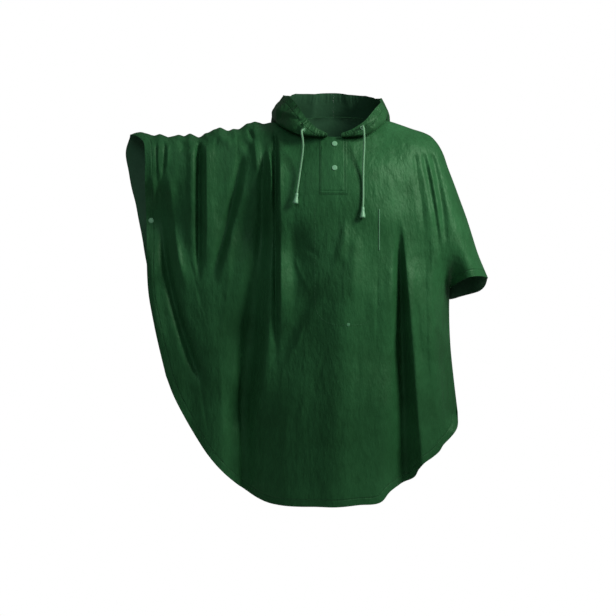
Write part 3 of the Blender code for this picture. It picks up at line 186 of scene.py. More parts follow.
# Columns of both panels: where they leave the shoulders, where they meet each hem, and how many
# lie between one stop and the next.
COLUMNS = table("top front back count", [
    (-0.530, -0.435, -0.433, 0), (-0.500, -0.420, -0.420, 2), (-0.440, -0.386, -0.388, 4),
    (-0.365, -0.350, -0.352, 4), (-0.343, -0.332, -0.334, 3), (-0.318, -0.312, -0.314, 3),
    (-0.215, -0.240, -0.238, 6), (-0.160, -0.190, -0.184, 4), (-0.142, -0.150, -0.150, 3),
    (-0.125, -0.125, -0.126, 2), (-0.105, -0.107, -0.109, 1), (-0.0985, -0.099, -0.100, 1),
    (-0.088, -0.089, -0.090, 1), (-0.037, -0.037, -0.037, 3), (0.029, 0.029, 0.029, 4),
    (0.088, 0.089, 0.090, 3), (0.0985, 0.099, 0.100, 1), (0.105, 0.108, 0.110, 1),
    (0.145, 0.160, 0.156, 3), (0.160, 0.192, 0.182, 3), (0.178, 0.222, 0.206, 3),
    (0.215, 0.262, 0.256, 3), (0.240, 0.300, 0.294, 3), (0.255, 0.321, 0.316, 2),
])  # fmt: skip
SLEEVE_COLUMNS = (0.0, 0.14, 0.28, 0.44, 0.60, 0.76, 0.88, 0.965, 1.0)  # from the side to the outer seam

# ------------------------------------------------------------------ depth of the cloth
FRONT_STATIONS = [  # x, z, depth
    # level arm
    (-0.504, -0.057, 0.045), (-0.504, -0.148, 0.048), (-0.485, -0.240, 0.040), (-0.478, -0.420, 0.022),
    (-0.440, -0.630, 0.030), (-0.426, -0.110, 0.052), (-0.426, -0.340, 0.046), (-0.348, -0.060, 0.050),
    (-0.348, -0.265, 0.060), (-0.348, -0.525, 0.062), (-0.335, -0.810, 0.058), (-0.244, -0.057, 0.058),
    (-0.244, -0.290, 0.070), (-0.244, -0.600, 0.074), (-0.244, -0.915, 0.068), (-0.187, -0.057, 0.064),
    (-0.187, -0.265, 0.070), (-0.187, -0.525, 0.084), (-0.192, -0.760, 0.088), (-0.180, -0.967, 0.092),
    # torso
    (-0.127, -0.018, 0.060), (-0.127, -0.096, 0.104), (-0.127, -0.240, 0.122), (-0.127, -0.450, 0.124),
    (-0.127, -0.710, 0.120), (-0.127, -0.970, 0.120), (0.000, -0.030, 0.100), (0.000, -0.110, 0.128),
    (0.000, -0.240, 0.142), (0.000, -0.450, 0.148), (0.000, -0.710, 0.150), (0.000, -0.975, 0.154),
    (0.120, -0.025, 0.062), (0.120, -0.110, 0.112), (0.120, -0.240, 0.134), (0.120, -0.450, 0.144),
    (0.120, -0.710, 0.148), (0.120, -0.955, 0.150),
    # hanging arm and left side
    (0.198, -0.057, 0.068), (0.185, -0.187, 0.104), (0.185, -0.343, 0.114), (0.185, -0.577, 0.118),
    (0.185, -0.915, 0.118), (0.255, -0.096, 0.062), (0.255, -0.213, 0.096), (0.255, -0.370, 0.106),
    (0.255, -0.577, 0.108), (0.250, -0.810, 0.102), (0.307, -0.240, 0.084), (0.333, -0.370, 0.092),
    (0.380, -0.382, 0.075), (0.300, -0.710, 0.080),
]  # fmt: skip
BACK_STATIONS = [
    # level arm
    (-0.530, -0.060, 0.046), (-0.520, -0.150, 0.048), (-0.490, -0.270, 0.034), (-0.478, -0.420, 0.020),
    (-0.440, -0.630, 0.028), (-0.426, -0.110, 0.052), (-0.426, -0.340, 0.044), (-0.348, -0.060, 0.052),
    (-0.348, -0.265, 0.058), (-0.348, -0.525, 0.060), (-0.335, -0.810, 0.055), (-0.244, -0.060, 0.062),
    (-0.244, -0.290, 0.078), (-0.244, -0.600, 0.080), (-0.244, -0.915, 0.078),
    # back
    (-0.150, -0.050, 0.085), (-0.160, -0.140, 0.126), (-0.160, -0.300, 0.135), (-0.160, -0.600, 0.130),
    (-0.160, -0.950, 0.126), (0.000, 0.030, 0.085), (0.000, -0.040, 0.112), (0.000, -0.120, 0.138),
    (0.000, -0.240, 0.150), (0.000, -0.450, 0.150), (0.000, -0.710, 0.152), (0.000, -0.960, 0.158),
    (0.150, -0.050, 0.080), (0.160, -0.140, 0.120), (0.160, -0.300, 0.136), (0.160, -0.600, 0.140),
    (0.160, -0.920, 0.140),
    # hanging arm and left side
    (0.255, -0.096, 0.066), (0.255, -0.213, 0.098), (0.255, -0.370, 0.108), (0.255, -0.577, 0.110),
    (0.250, -0.810, 0.105), (0.307, -0.240, 0.084), (0.333, -0.370, 0.090), (0.380, -0.400, 0.075),
    (0.300, -0.710, 0.080),
]  # fmt: skip

# Folds: each runs from a top point to a low one, bowed sideways in its middle. Its sides fall
# away over left and right, grown by spread at the low end. Positive heights are ridges. It
# fades in and out over those shares of its length, and 0 lets it run on past its end.
FOLD_NAMES = "x z low_x low_z bow left right spread height fade_in fade_out"
FRONT_FOLDS = table(FOLD_NAMES, [
    # drape of the level arm
    (-0.452, -0.120, -0.334, -0.672, -0.032, 0.011, 0.010, 1.2, -0.020, 0.20, 0.14),
    (-0.427, -0.110, -0.378, -0.440, -0.010, 0.010, 0.012, 1.3, 0.010, 0.20, 0.30),
    (-0.474, -0.300, -0.436, -0.600, -0.010, 0.016, 0.016, 1.2, 0.009, 0.25, 0.30),
    (-0.349, -0.036, -0.349, -0.420, 0.000, 0.006, 0.007, 1.1, -0.017, 0.05, 0.35),
    (-0.367, -0.040, -0.369, -0.380, 0.000, 0.010, 0.009, 1.3, 0.006, 0.10, 0.40),
    (-0.329, -0.040, -0.326, -0.400, 0.002, 0.009, 0.026, 1.2, 0.010, 0.08, 0.40),
    (-0.234, -0.055, -0.322, -0.425, 0.007, 0.011, 0.011, 1.3, -0.013, 0.15, 0.30),
    (-0.222, -0.130, -0.296, -0.416, -0.002, 0.011, 0.014, 1.3, 0.008, 0.25, 0.25),
    (-0.314, -0.440, -0.300, -0.880, 0.006, 0.042, 0.030, 1.2, 0.008, 0.30, 0.0),
    (-0.385, -0.520, -0.365, -0.780, 0.004, 0.018, 0.018, 1.3, -0.003, 0.30, 0.0),
    # the deep valley below the arm, and the torso's edge over it
    (-0.186, -0.060, -0.196, -0.420, 0.006, 0.011, 0.011, 1.4, -0.017, 0.25, 0.40),
    (-0.190, -0.280, -0.250, -0.800, 0.004, 0.026, 0.024, 1.2, -0.032, 0.35, 0.25),
    (-0.250, -0.640, -0.240, -0.970, 0.000, 0.026, 0.036, 1.1, -0.030, 0.40, 0.0),
    (-0.206, -0.030, -0.190, -0.150, 0.000, 0.008, 0.008, 1.3, 0.009, 0.25, 0.40),
    (-0.172, -0.050, -0.167, -0.240, 0.008, 0.006, 0.006, 1.2, 0.014, 0.20, 0.40),
    (-0.163, -0.300, -0.170, -0.600, 0.000, 0.009, 0.009, 1.2, 0.007, 0.30, 0.30),
    (-0.152, -0.006, -0.148, -0.640, 0.000, 0.006, 0.005, 1.0, -0.010, 0.05, 0.40),
    (-0.141, -0.012, -0.138, -0.620, 0.000, 0.006, 0.022, 1.3, 0.013, 0.10, 0.40),
    # torso
    (-0.100, -0.220, -0.100, -0.540, 0.000, 0.018, 0.034, 1.2, -0.011, 0.30, 0.35),
    (-0.036, -0.400, -0.140, -0.590, 0.000, 0.012, 0.012, 1.2, -0.006, 0.30, 0.30),
    (0.029, -0.245, 0.008, -0.360, 0.000, 0.010, 0.012, 1.2, 0.006, 0.30, 0.30),
    (0.034, -0.230, 0.004, -0.970, 0.000, 0.045, 0.035, 1.1, 0.012, 0.25, 0.0),
    (0.054, -0.260, 0.046, -0.470, 0.000, 0.014, 0.016, 1.2, 0.006, 0.30, 0.35),
    # below the left arm
    (0.146, -0.270, 0.142, -0.840, 0.000, 0.016, 0.012, 1.3, 0.005, 0.25, 0.25),
    (0.161, -0.225, 0.182, -0.940, 0.002, 0.009, 0.008, 2.8, -0.034, 0.40, 0.0),
    (0.175, -0.235, 0.224, -0.880, -0.002, 0.007, 0.026, 1.4, 0.015, 0.30, 0.0),
    (0.207, -0.440, 0.220, -0.615, 0.000, 0.005, 0.007, 1.3, -0.005, 0.40, 0.25),
    (0.205, -0.066, 0.232, -0.340, 0.004, 0.007, 0.008, 1.2, -0.0045, 0.08, 0.50),
    (0.226, -0.062, 0.278, -0.400, 0.006, 0.007, 0.008, 1.2, -0.0065, 0.08, 0.45),
    (0.240, -0.075, 0.276, -0.360, 0.006, 0.007, 0.007, 1.2, 0.004, 0.15, 0.40),
    (0.248, -0.062, 0.284, -0.350, 0.009, 0.008, 0.009, 1.2, -0.009, 0.08, 0.50),
    (0.248, -0.440, 0.262, -0.840, 0.000, 0.020, 0.020, 1.2, 0.006, 0.30, 0.0),
    (0.283, -0.500, 0.296, -0.800, 0.000, 0.010, 0.010, 1.3, -0.007, 0.30, 0.0),
    # slack between the larger folds
    (0.144, -0.420, 0.148, -0.950, 0.000, 0.016, 0.020, 1.2, -0.009, 0.35, 0.0),
    (0.186, -0.420, 0.226, -0.900, 0.004, 0.010, 0.014, 1.4, 0.008, 0.30, 0.0),
    (-0.250, -0.560, -0.247, -0.960, 0.000, 0.020, 0.005, 1.2, 0.010, 0.35, 0.0),
    (-0.222, -0.560, -0.214, -0.965, 0.000, 0.018, 0.060, 1.1, -0.012, 0.35, 0.0),
    (-0.467, -0.115, -0.462, -0.255, 0.000, 0.008, 0.006, 1.1, 0.008, 0.30, 0.40),
    (-0.222, -0.006, -0.206, -0.040, 0.001, 0.005, 0.005, 1.1, -0.007, 0.20, 0.40),
    (-0.162, -0.390, -0.188, -0.780, 0.000, 0.011, 0.018, 1.3, 0.009, 0.35, 0.35),
    (-0.410, -0.036, -0.380, -0.066, 0.004, 0.008, 0.010, 1.2, -0.005, 0.30, 0.35),
    (-0.250, -0.030, -0.212, -0.074, 0.003, 0.008, 0.010, 1.2, -0.006, 0.30, 0.35),
    (-0.300, -0.016, -0.262, -0.050, -0.003, 0.008, 0.009, 1.2, 0.004, 0.30, 0.35),
])  # fmt: skip
BACK_FOLDS = table(FOLD_NAMES, [
    # drape of the level arm
    (-0.450, -0.100, -0.380, -0.600, -0.015, 0.014, 0.014, 1.6, -0.023, 0.15, 0.30),
    (-0.425, -0.140, -0.365, -0.520, -0.010, 0.012, 0.012, 1.5, 0.014, 0.20, 0.30),
    (-0.335, -0.036, -0.330, -0.480, 0.004, 0.010, 0.010, 1.6, -0.026, 0.08, 0.40),
    (-0.305, -0.050, -0.290, -0.560, 0.004, 0.012, 0.014, 1.5, 0.014, 0.15, 0.40),
    (-0.240, -0.070, -0.262, -0.620, 0.004, 0.016, 0.014, 1.5, -0.018, 0.15, 0.30),
    (-0.330, -0.480, -0.318, -0.840, 0.0, 0.022, 0.020, 1.3, 0.012, 0.30, 0.0),
    (-0.280, -0.600, -0.272, -0.900, 0.0, 0.020, 0.020, 1.3, -0.012, 0.30, 0.0),
    # below the right shoulder blade
    (-0.190, -0.090, -0.214, -0.640, 0.0, 0.018, 0.014, 1.5, -0.039, 0.15, 0.25),
    (-0.160, -0.120, -0.166, -0.960, 0.0, 0.012, 0.022, 1.7, 0.021, 0.20, 0.0),
    (-0.110, -0.260, -0.118, -0.965, 0.0, 0.018, 0.018, 1.8, -0.017, 0.30, 0.0),
    (-0.050, -0.300, -0.060, -0.970, 0.0, 0.020, 0.020, 1.7, 0.013, 0.30, 0.0),
    (0.010, -0.280, 0.006, -0.970, 0.0, 0.018, 0.018, 1.8, -0.016, 0.30, 0.0),
    (0.070, -0.300, 0.072, -0.965, 0.0, 0.020, 0.020, 1.7, 0.014, 0.30, 0.0),
    (0.118, -0.250, 0.130, -0.945, 0.0, 0.016, 0.016, 1.8, -0.018, 0.25, 0.0),
    # below the left shoulder blade and arm
    (0.160, -0.160, 0.176, -0.920, 0.0, 0.014, 0.018, 1.6, 0.017, 0.20, 0.0),
    (0.196, -0.140, 0.222, -0.880, 0.0, 0.014, 0.012, 1.9, -0.036, 0.20, 0.0),
    (0.236, -0.080, 0.258, -0.340, 0.0, 0.011, 0.011, 1.3, -0.016, 0.25, 0.35),
    (0.262, -0.080, 0.292, -0.430, 0.0, 0.011, 0.011, 1.2, -0.023, 0.25, 0.20),
    (0.256, -0.460, 0.270, -0.820, 0.0, 0.018, 0.018, 1.3, 0.010, 0.30, 0.0),
])  # fmt: skip

# ------------------------------------------------------------------ hood
HOOD_NAMES = "neck turn wall edge round"
HOOD_RIGHT = table(HOOD_NAMES, [
    (0.00, (-0.018, -0.112, -0.033), (-0.018, -0.114, -0.029), (-0.018, -0.110, -0.023), 0.0030),
    (0.30, (-0.054, -0.112, -0.031), (-0.056, -0.114, -0.020), (-0.050, -0.108, -0.005), 0.0035),
    (0.52, (-0.088, -0.104, -0.028), (-0.093, -0.106, -0.003), (-0.074, -0.098, 0.020), 0.0045),
    (0.72, (-0.122, -0.080, -0.014), (-0.127, -0.078, 0.018), (-0.096, -0.074, 0.053), 0.0060),
    (0.88, (-0.148, -0.044, 0.002), (-0.149, -0.038, 0.036), (-0.113, -0.036, 0.075), 0.0070),
    (1.00, (-0.158, 0.004, 0.020), (-0.154, 0.008, 0.048), (-0.124, 0.008, 0.081), 0.0070),
    (1.35, (-0.160, 0.080, -0.014), (-0.154, 0.092, 0.032), (-0.124, 0.066, 0.090), 0.0090),
    (1.70, (-0.108, 0.154, -0.094), (-0.110, 0.182, -0.014), (-0.080, 0.128, 0.100), 0.0110),
    (2.00, (0.000, 0.170, -0.118), (0.000, 0.206, -0.030), (0.000, 0.148, 0.104), 0.0120),
])  # fmt: skip
HOOD_LEFT = table(HOOD_NAMES, [
    (0.00, (0.018, -0.112, -0.033), (0.018, -0.114, -0.029), (0.018, -0.110, -0.022), 0.0030),
    (0.30, (0.054, -0.112, -0.031), (0.057, -0.114, -0.021), (0.050, -0.108, -0.009), 0.0035),
    (0.52, (0.086, -0.102, -0.027), (0.092, -0.104, -0.007), (0.078, -0.097, 0.011), 0.0045),
    (0.72, (0.112, -0.080, -0.012), (0.118, -0.078, 0.014), (0.100, -0.074, 0.038), 0.0060),
    (0.88, (0.130, -0.044, 0.004), (0.132, -0.038, 0.028), (0.114, -0.036, 0.056), 0.0070),
    (1.00, (0.139, 0.004, 0.026), (0.136, 0.008, 0.046), (0.120, 0.008, 0.070), 0.0070),
    (1.35, (0.146, 0.080, -0.010), (0.141, 0.092, 0.030), (0.117, 0.066, 0.082), 0.0090),
    (1.70, (0.104, 0.152, -0.092), (0.105, 0.180, -0.014), (0.078, 0.128, 0.094), 0.0110),
    (2.00, (0.000, 0.170, -0.118), (0.000, 0.206, -0.030), (0.000, 0.148, 0.104), 0.0120),
])  # fmt: skip
HOOD_STEPS = (0, 0.25, 0.6, 1, 1.5, 2, 2.35, 2.65, 3, 3.4, 4, 4.35, 4.7, 5)  # rows, by a section's points
HOOD_OPENING = 0.018  # half the gap between the halves at the front
HOOD_LIFT, HOOD_LAP = 0.0003, 0.0020  # above the panels, and how far its seam lies over their edges
HOOD_SAG = 0.0015  # how far the under layer bows up
HOOD_CLEARANCE = 0.0025  # of the hood over the shoulders
HOOD_FINER = 6
GATHER_HEIGHT = 0.0007  # of the small gathers along the casing
GATHER_FROM, GATHER_TO, GATHER_FADE = 0.004, 0.030, 0.012  # from the face edge
HOOD_FOLDS_FROM, HOOD_FOLDS_END = 0.6, 0.05  # steps above the neck, and neck places before the back's middle
HOOD_ROUND, HOOD_RISE = 0.20, 0.034  # metres to a neck place and to a step, for its folds
HOOD_FOLDS_RIGHT = table(FOLD_NAMES, [
    # gathered by the drawcord, out from its eyelet
    (0.088, -0.152, 0.094, -0.098, 0.000, 0.006, 0.006, 1.5, 0.0030, 0.10, 0.30),
    (0.096, -0.150, 0.122, -0.092, 0.000, 0.006, 0.007, 1.7, -0.0045, 0.10, 0.30),
    (0.101, -0.152, 0.150, -0.100, 0.004, 0.006, 0.007, 1.9, 0.0045, 0.10, 0.30),
    (0.104, -0.156, 0.176, -0.118, -0.004, 0.006, 0.008, 2.1, -0.0050, 0.10, 0.30),
    (0.108, -0.160, 0.200, -0.138, 0.003, 0.006, 0.007, 2.0, 0.0040, 0.10, 0.30),
    # slack over the shoulder and round the back
    (0.146, -0.190, 0.186, -0.095, 0.006, 0.009, 0.008, 1.3, -0.0060, 0.10, 0.25),
    (0.176, -0.190, 0.214, -0.100, -0.006, 0.008, 0.011, 1.3, 0.0050, 0.10, 0.25),
    (0.208, -0.190, 0.240, -0.104, 0.004, 0.010, 0.009, 1.4, -0.0050, 0.10, 0.25),
    (0.246, -0.190, 0.262, -0.110, 0.003, 0.011, 0.010, 1.2, 0.0040, 0.10, 0.30),
    (0.282, -0.190, 0.300, -0.106, -0.003, 0.009, 0.012, 1.3, -0.0045, 0.10, 0.30),
    (0.322, -0.190, 0.318, -0.116, 0.002, 0.013, 0.010, 1.2, 0.0035, 0.10, 0.30),
    (0.362, -0.190, 0.372, -0.108, 0.000, 0.010, 0.012, 1.3, -0.0040, 0.10, 0.30),
])  # fmt: skip
HOOD_FOLDS_LEFT = table(FOLD_NAMES, [
    # gathered by the drawcord, out from its eyelet
    (0.086, -0.154, 0.090, -0.104, 0.000, 0.006, 0.006, 1.4, -0.0020, 0.10, 0.30),
    (0.094, -0.154, 0.132, -0.106, 0.003, 0.006, 0.007, 1.8, 0.0028, 0.10, 0.30),
    (0.100, -0.158, 0.160, -0.130, -0.003, 0.006, 0.007, 2.0, -0.0028, 0.10, 0.30),
    # the face edge turned in, and slack round the back
    (0.160, -0.190, 0.170, -0.120, 0.000, 0.008, 0.008, 1.2, -0.0060, 0.10, 0.30),
    (0.184, -0.190, 0.204, -0.110, 0.003, 0.008, 0.009, 1.3, 0.0050, 0.10, 0.30),
    (0.212, -0.190, 0.232, -0.104, -0.003, 0.009, 0.010, 1.3, -0.0045, 0.10, 0.30),
    (0.250, -0.190, 0.258, -0.112, 0.002, 0.012, 0.010, 1.2, 0.0045, 0.10, 0.30),
    (0.290, -0.190, 0.284, -0.108, 0.003, 0.010, 0.011, 1.3, -0.0035, 0.10, 0.30),
    (0.330, -0.190, 0.342, -0.110, -0.002, 0.012, 0.012, 1.2, 0.0035, 0.10, 0.30),
    (0.374, -0.190, 0.366, -0.114, 0.000, 0.010, 0.010, 1.3, -0.0030, 0.10, 0.30),
])  # fmt: skip

# Sharper creases that the cloth keeps between the large folds, from the same named columns.
FRONT_CREASES = table(FOLD_NAMES, [
    # slack beside the hem of the arm opening
    (-0.461, -0.036, -0.457, -0.152, 0.003, 0.004, 0.004, 1.0, -0.0050, 0.20, 0.35),
    (-0.451, -0.040, -0.449, -0.140, -0.004, 0.003, 0.004, 1.0, 0.0035, 0.20, 0.30),
    (-0.440, -0.030, -0.447, -0.146, 0.006, 0.004, 0.004, 1.0, -0.0050, 0.20, 0.35),
    (-0.430, -0.034, -0.434, -0.120, 0.003, 0.004, 0.005, 1.2, 0.0030, 0.20, 0.40),
    (-0.473, -0.060, -0.470, -0.200, 0.000, 0.004, 0.005, 1.2, 0.0020, 0.30, 0.40),
    # gathers along the top of the arm
    (-0.407, -0.034, -0.369, -0.058, 0.002, 0.004, 0.005, 1.1, -0.0026, 0.25, 0.30),
    (-0.400, -0.052, -0.378, -0.044, 0.001, 0.003, 0.004, 1.0, 0.0016, 0.30, 0.30),
    (-0.392, -0.030, -0.396, -0.082, 0.001, 0.004, 0.004, 1.3, -0.0020, 0.30, 0.45),
    (-0.301, -0.020, -0.306, -0.078, -0.001, 0.004, 0.005, 1.2, -0.0022, 0.25, 0.45),
    (-0.330, -0.043, -0.246, -0.049, 0.002, 0.003, 0.004, 1.0, -0.0014, 0.20, 0.20),
    (-0.276, -0.022, -0.268, -0.066, 0.001, 0.004, 0.005, 1.2, 0.0018, 0.25, 0.45),
    (-0.252, -0.020, -0.250, -0.092, 0.002, 0.004, 0.004, 1.3, -0.0026, 0.25, 0.45),
    # drape of the level arm
    (-0.423, -0.130, -0.379, -0.425, -0.009, 0.004, 0.007, 1.2, 0.0032, 0.20, 0.30),
    (-0.329, -0.045, -0.330, -0.350, 0.001, 0.003, 0.012, 1.2, 0.0026, 0.10, 0.40),
    (-0.228, -0.080, -0.302, -0.390, 0.002, 0.004, 0.007, 1.2, 0.0022, 0.20, 0.30),
    (-0.262, -0.240, -0.292, -0.560, 0.004, 0.005, 0.008, 1.2, 0.0016, 0.30, 0.40),
    (-0.380, -0.300, -0.318, -0.520, -0.006, 0.005, 0.007, 1.3, -0.0018, 0.30, 0.40),
    (-0.300, -0.540, -0.286, -0.840, 0.003, 0.007, 0.010, 1.2, 0.0018, 0.30, 0.30),
    (-0.352, -0.600, -0.322, -0.800, -0.002, 0.006, 0.008, 1.2, -0.0020, 0.30, 0.40),
    # tuck at the shoulder, and the valley under the arm
    (-0.226, -0.002, -0.208, -0.040, 0.002, 0.004, 0.004, 1.1, -0.0040, 0.10, 0.40),
    (-0.198, -0.026, -0.186, -0.130, 0.002, 0.004, 0.004, 1.2, 0.0030, 0.20, 0.40),
    (-0.158, -0.052, -0.154, -0.150, -0.002, 0.003, 0.003, 1.0, -0.0035, 0.25, 0.40),
    (-0.164, -0.070, -0.167, -0.196, 0.004, 0.003, 0.004, 1.0, 0.0030, 0.25, 0.35),
    (-0.149, -0.014, -0.143, -0.560, 0.001, 0.004, 0.003, 1.1, -0.0040, 0.06, 0.35),
    (-0.1395, -0.050, -0.1370, -0.580, 0.001, 0.003, 0.009, 1.2, 0.0050, 0.12, 0.35),
    (-0.196, -0.420, -0.226, -0.760, 0.003, 0.006, 0.008, 1.2, -0.0025, 0.30, 0.40),
    # torso
    (-0.078, -0.515, -0.140, -0.630, 0.004, 0.004, 0.007, 1.1, 0.0030, 0.25, 0.30),
    (-0.092, -0.306, -0.030, -0.350, 0.004, 0.004, 0.005, 1.1, -0.0022, 0.30, 0.35),
    (-0.104, -0.330, -0.060, -0.430, -0.005, 0.004, 0.006, 1.2, 0.0020, 0.30, 0.35),
    (-0.060, -0.420, -0.118, -0.500, 0.004, 0.004, 0.005, 1.1, -0.0022, 0.30, 0.35),
    (0.066, -0.242, 0.010, -0.336, -0.004, 0.003, 0.005, 1.1, 0.0018, 0.25, 0.35),
    (0.026, -0.190, 0.020, -0.480, 0.002, 0.004, 0.007, 1.2, 0.0012, 0.25, 0.35),
    (-0.020, -0.560, -0.066, -0.700, 0.004, 0.005, 0.006, 1.2, -0.0018, 0.30, 0.35),
    (-0.052, -0.640, -0.100, -0.790, -0.005, 0.005, 0.007, 1.2, 0.0016, 0.30, 0.35),
    (0.022, -0.700, 0.002, -0.860, 0.003, 0.005, 0.007, 1.2, -0.0016, 0.30, 0.35),
    (-0.120, -0.700, -0.136, -0.900, 0.003, 0.006, 0.008, 1.2, 0.0016, 0.30, 0.35),
    (0.072, -0.540, 0.060, -0.860, 0.002, 0.006, 0.008, 1.2, 0.0014, 0.30, 0.35),
    (0.108, -0.330, 0.104, -0.620, 0.001, 0.004, 0.007, 1.2, -0.0014, 0.25, 0.35),
    # below the left arm
    (0.1700, -0.236, 0.2020, -0.800, 0.003, 0.004, 0.008, 1.3, 0.0026, 0.15, 0.25),
    (0.228, -0.300, 0.236, -0.640, 0.002, 0.004, 0.006, 1.2, -0.0016, 0.25, 0.35),
    (0.246, -0.260, 0.262, -0.560, -0.002, 0.004, 0.006, 1.2, 0.0014, 0.25, 0.35),
    (0.268, -0.520, 0.282, -0.760, 0.001, 0.004, 0.006, 1.2, -0.0016, 0.25, 0.35),
    (0.210, -0.060, 0.222, -0.230, 0.002, 0.004, 0.006, 1.2, 0.0014, 0.30, 0.40),
])  # fmt: skip
BACK_CREASES = table(FOLD_NAMES, [
    (-0.462, -0.050, -0.452, -0.170, 0.003, 0.004, 0.005, 1.1, -0.0040, 0.20, 0.35),
    (-0.404, -0.030, -0.396, -0.110, 0.002, 0.004, 0.005, 1.2, -0.0024, 0.25, 0.40),
    (-0.322, -0.060, -0.318, -0.420, 0.002, 0.004, 0.010, 1.2, 0.0026, 0.15, 0.35),
    (-0.270, -0.100, -0.288, -0.470, -0.003, 0.005, 0.007, 1.3, -0.0022, 0.25, 0.35),
    (-0.226, -0.030, -0.232, -0.120, 0.002, 0.004, 0.005, 1.2, -0.0030, 0.20, 0.40),
    (-0.173, -0.140, -0.182, -0.620, 0.002, 0.004, 0.009, 1.2, 0.0036, 0.15, 0.35),
    (-0.128, -0.420, -0.112, -0.760, 0.003, 0.005, 0.007, 1.2, -0.0022, 0.30, 0.35),
    (-0.084, -0.180, -0.060, -0.420, -0.004, 0.005, 0.006, 1.2, 0.0018, 0.30, 0.35),
    (-0.028, -0.520, -0.046, -0.860, 0.003, 0.005, 0.007, 1.2, 0.0020, 0.30, 0.35),
    (0.034, -0.200, 0.052, -0.500, 0.003, 0.005, 0.007, 1.2, -0.0018, 0.30, 0.35),
    (0.092, -0.460, 0.084, -0.800, -0.003, 0.005, 0.007, 1.2, 0.0020, 0.30, 0.35),
    (0.142, -0.300, 0.150, -0.640, 0.002, 0.004, 0.008, 1.2, -0.0022, 0.25, 0.35),
    (0.212, -0.180, 0.232, -0.640, 0.002, 0.004, 0.009, 1.2, 0.0028, 0.20, 0.35),
    (0.250, -0.060, 0.272, -0.260, -0.002, 0.004, 0.006, 1.2, 0.0018, 0.30, 0.40),
    (0.282, -0.520, 0.290, -0.720, 0.001, 0.004, 0.006, 1.2, -0.0016, 0.25, 0.35),
])  # fmt: skip


# ------------------------------------------------------------------ curves and depth
def run_of(line):
    """The length along a line of points up to each of them."""
    return np.r_[0.0, np.cumsum(np.linalg.norm(np.diff(line, axis=0), axis=1))]


def unit(ways):
    return ways / np.linalg.norm(ways, axis=-1, keepdims=True)


def through(points, places):
    """Points of a smooth curve through the given ones, at places from 0 to 1 along it."""
    points = np.asarray(points, float)
    run = run_of(points)
    return spread(points, run / run[-1], np.asarray(places, float))


def spread(values, places, at):
    """A smooth curve through values that stand at uneven places."""
    slope = np.gradient(values, places, axis=0)
    i = np.clip(np.searchsorted(places, at, side="right") - 1, 0, len(places) - 2)
    step = (places[i + 1] - places[i])[:, None]
    t = ((at - places[i]) / step[:, 0])[:, None]
    start = (1 + 2 * t) * (1 - t) ** 2 * values[i] + t * (1 - t) ** 2 * step * slope[i]
    return start + t * t * (3 - 2 * t) * values[i + 1] + t * t * (t - 1) * step * slope[i + 1]


def fine(points, count=120):
    return through(points, np.linspace(0, 1, count))


def line_length(line):
    return np.linalg.norm(np.diff(line, axis=0), axis=1).sum()


def finer(values, times):
    """The same run of values with more steps between them."""
    at = np.arange(len(values))
    return np.interp(np.linspace(0, at[-1], at[-1] * times + 1), at, values)


def smooth(t):
    t = np.clip(t, 0, 1)
    return t * t * (3 - 2 * t)


def closing(reach):
    """0 at a closed edge and 1 from reach 1 on, like half of a lens."""
    reach = np.clip(reach, 0, 1)
    return reach * (2 - reach)


def distance(x, z, line):
    """How far each point is, in the front view, from a line of points."""
    nearest = np.full(np.shape(x), np.inf)
    for start, end in zip(line[:-1], line[1:]):
        step = end - start
        t = np.clip(((x - start[0]) * step[0] + (z - start[1]) * step[1]) / (step @ step), 0, 1)
        nearest = np.minimum(nearest, np.hypot(x - start[0] - t * step[0], z - start[1] - t * step[1]))
    return nearest


def thin_plate(stations):
    """A smooth depth over x and z that passes through every station."""
    stations = np.array(stations)
    at, depth = stations[:, :2], stations[:, 2]

    def bend(gap):
        return gap * gap * np.log(gap + 1e-9)

    count = len(at)
    matrix = np.zeros((count + 3, count + 3))
    matrix[:count, :count] = bend(np.linalg.norm(at[:, None] - at, axis=-1))
    matrix[:count, count:] = np.c_[np.ones(count), at]
    matrix[count:, :count] = matrix[:count, count:].T
    weights = np.linalg.solve(matrix, np.r_[depth, np.zeros(3)])

    def depth_at(x, z):
        gap = np.linalg.norm(np.stack([x, z], -1)[..., None, :] - at, axis=-1)
        return bend(gap) @ weights[:count] + weights[count] + weights[-2] * x + weights[-1] * z

    return depth_at


def fold_depth(x, z, folds, profile):
    """The folds' ridges and troughs, added up."""
    total = np.zeros(np.shape(x))
    for fold in folds:
        start = np.array([fold["x"], fold["z"]])
        way = np.array([fold["low_x"], fold["low_z"]]) - start
        length = np.linalg.norm(way)
        way /= length
        t = ((x - start[0]) * way[0] + (z - start[1]) * way[1]) / length
        inside = np.clip(t, 0, 1)
        across = -(x - start[0]) * way[1] + (z - start[1]) * way[0]
        across = across - fold["bow"] * 4 * inside * (1 - inside)
        width = np.where(across < 0, fold["left"], fold["right"]) * (1 + (fold["spread"] - 1) * inside)
        fade = 1.0
        if fold["fade_in"]:
            fade = fade * smooth(t / fold["fade_in"])
        if fold["fade_out"]:
            fade = fade * smooth((1 - t) / fold["fade_out"])
        total += fold["height"] * fade * profile(across / width)
    return total


def soft_fold(across):
    return np.exp(-(across**2))


def pressed_crease(across, crest=0.45, slope=1.55):
    """Sharper at its crest than a soft fold, with flanks that run out."""
    return np.exp(crest - np.sqrt((slope * across) ** 2 + crest**2))


# ------------------------------------------------------------------ panels
def shoulder_line(back):
    """The line over which a panel turns: right shoulder, over the neck opening, left shoulder."""
    arch = np.array(BACK_ARCH if back else []).reshape(-1, 2)
    right = fine(SHOULDER_RIGHT, count=300)
    for x, height, width in SHOULDER_GATHERS:
        right[:, 1] += height * soft_fold((right[:, 0] - x) / width)
    return np.r_[right, arch, fine(SHOULDER_LEFT)]


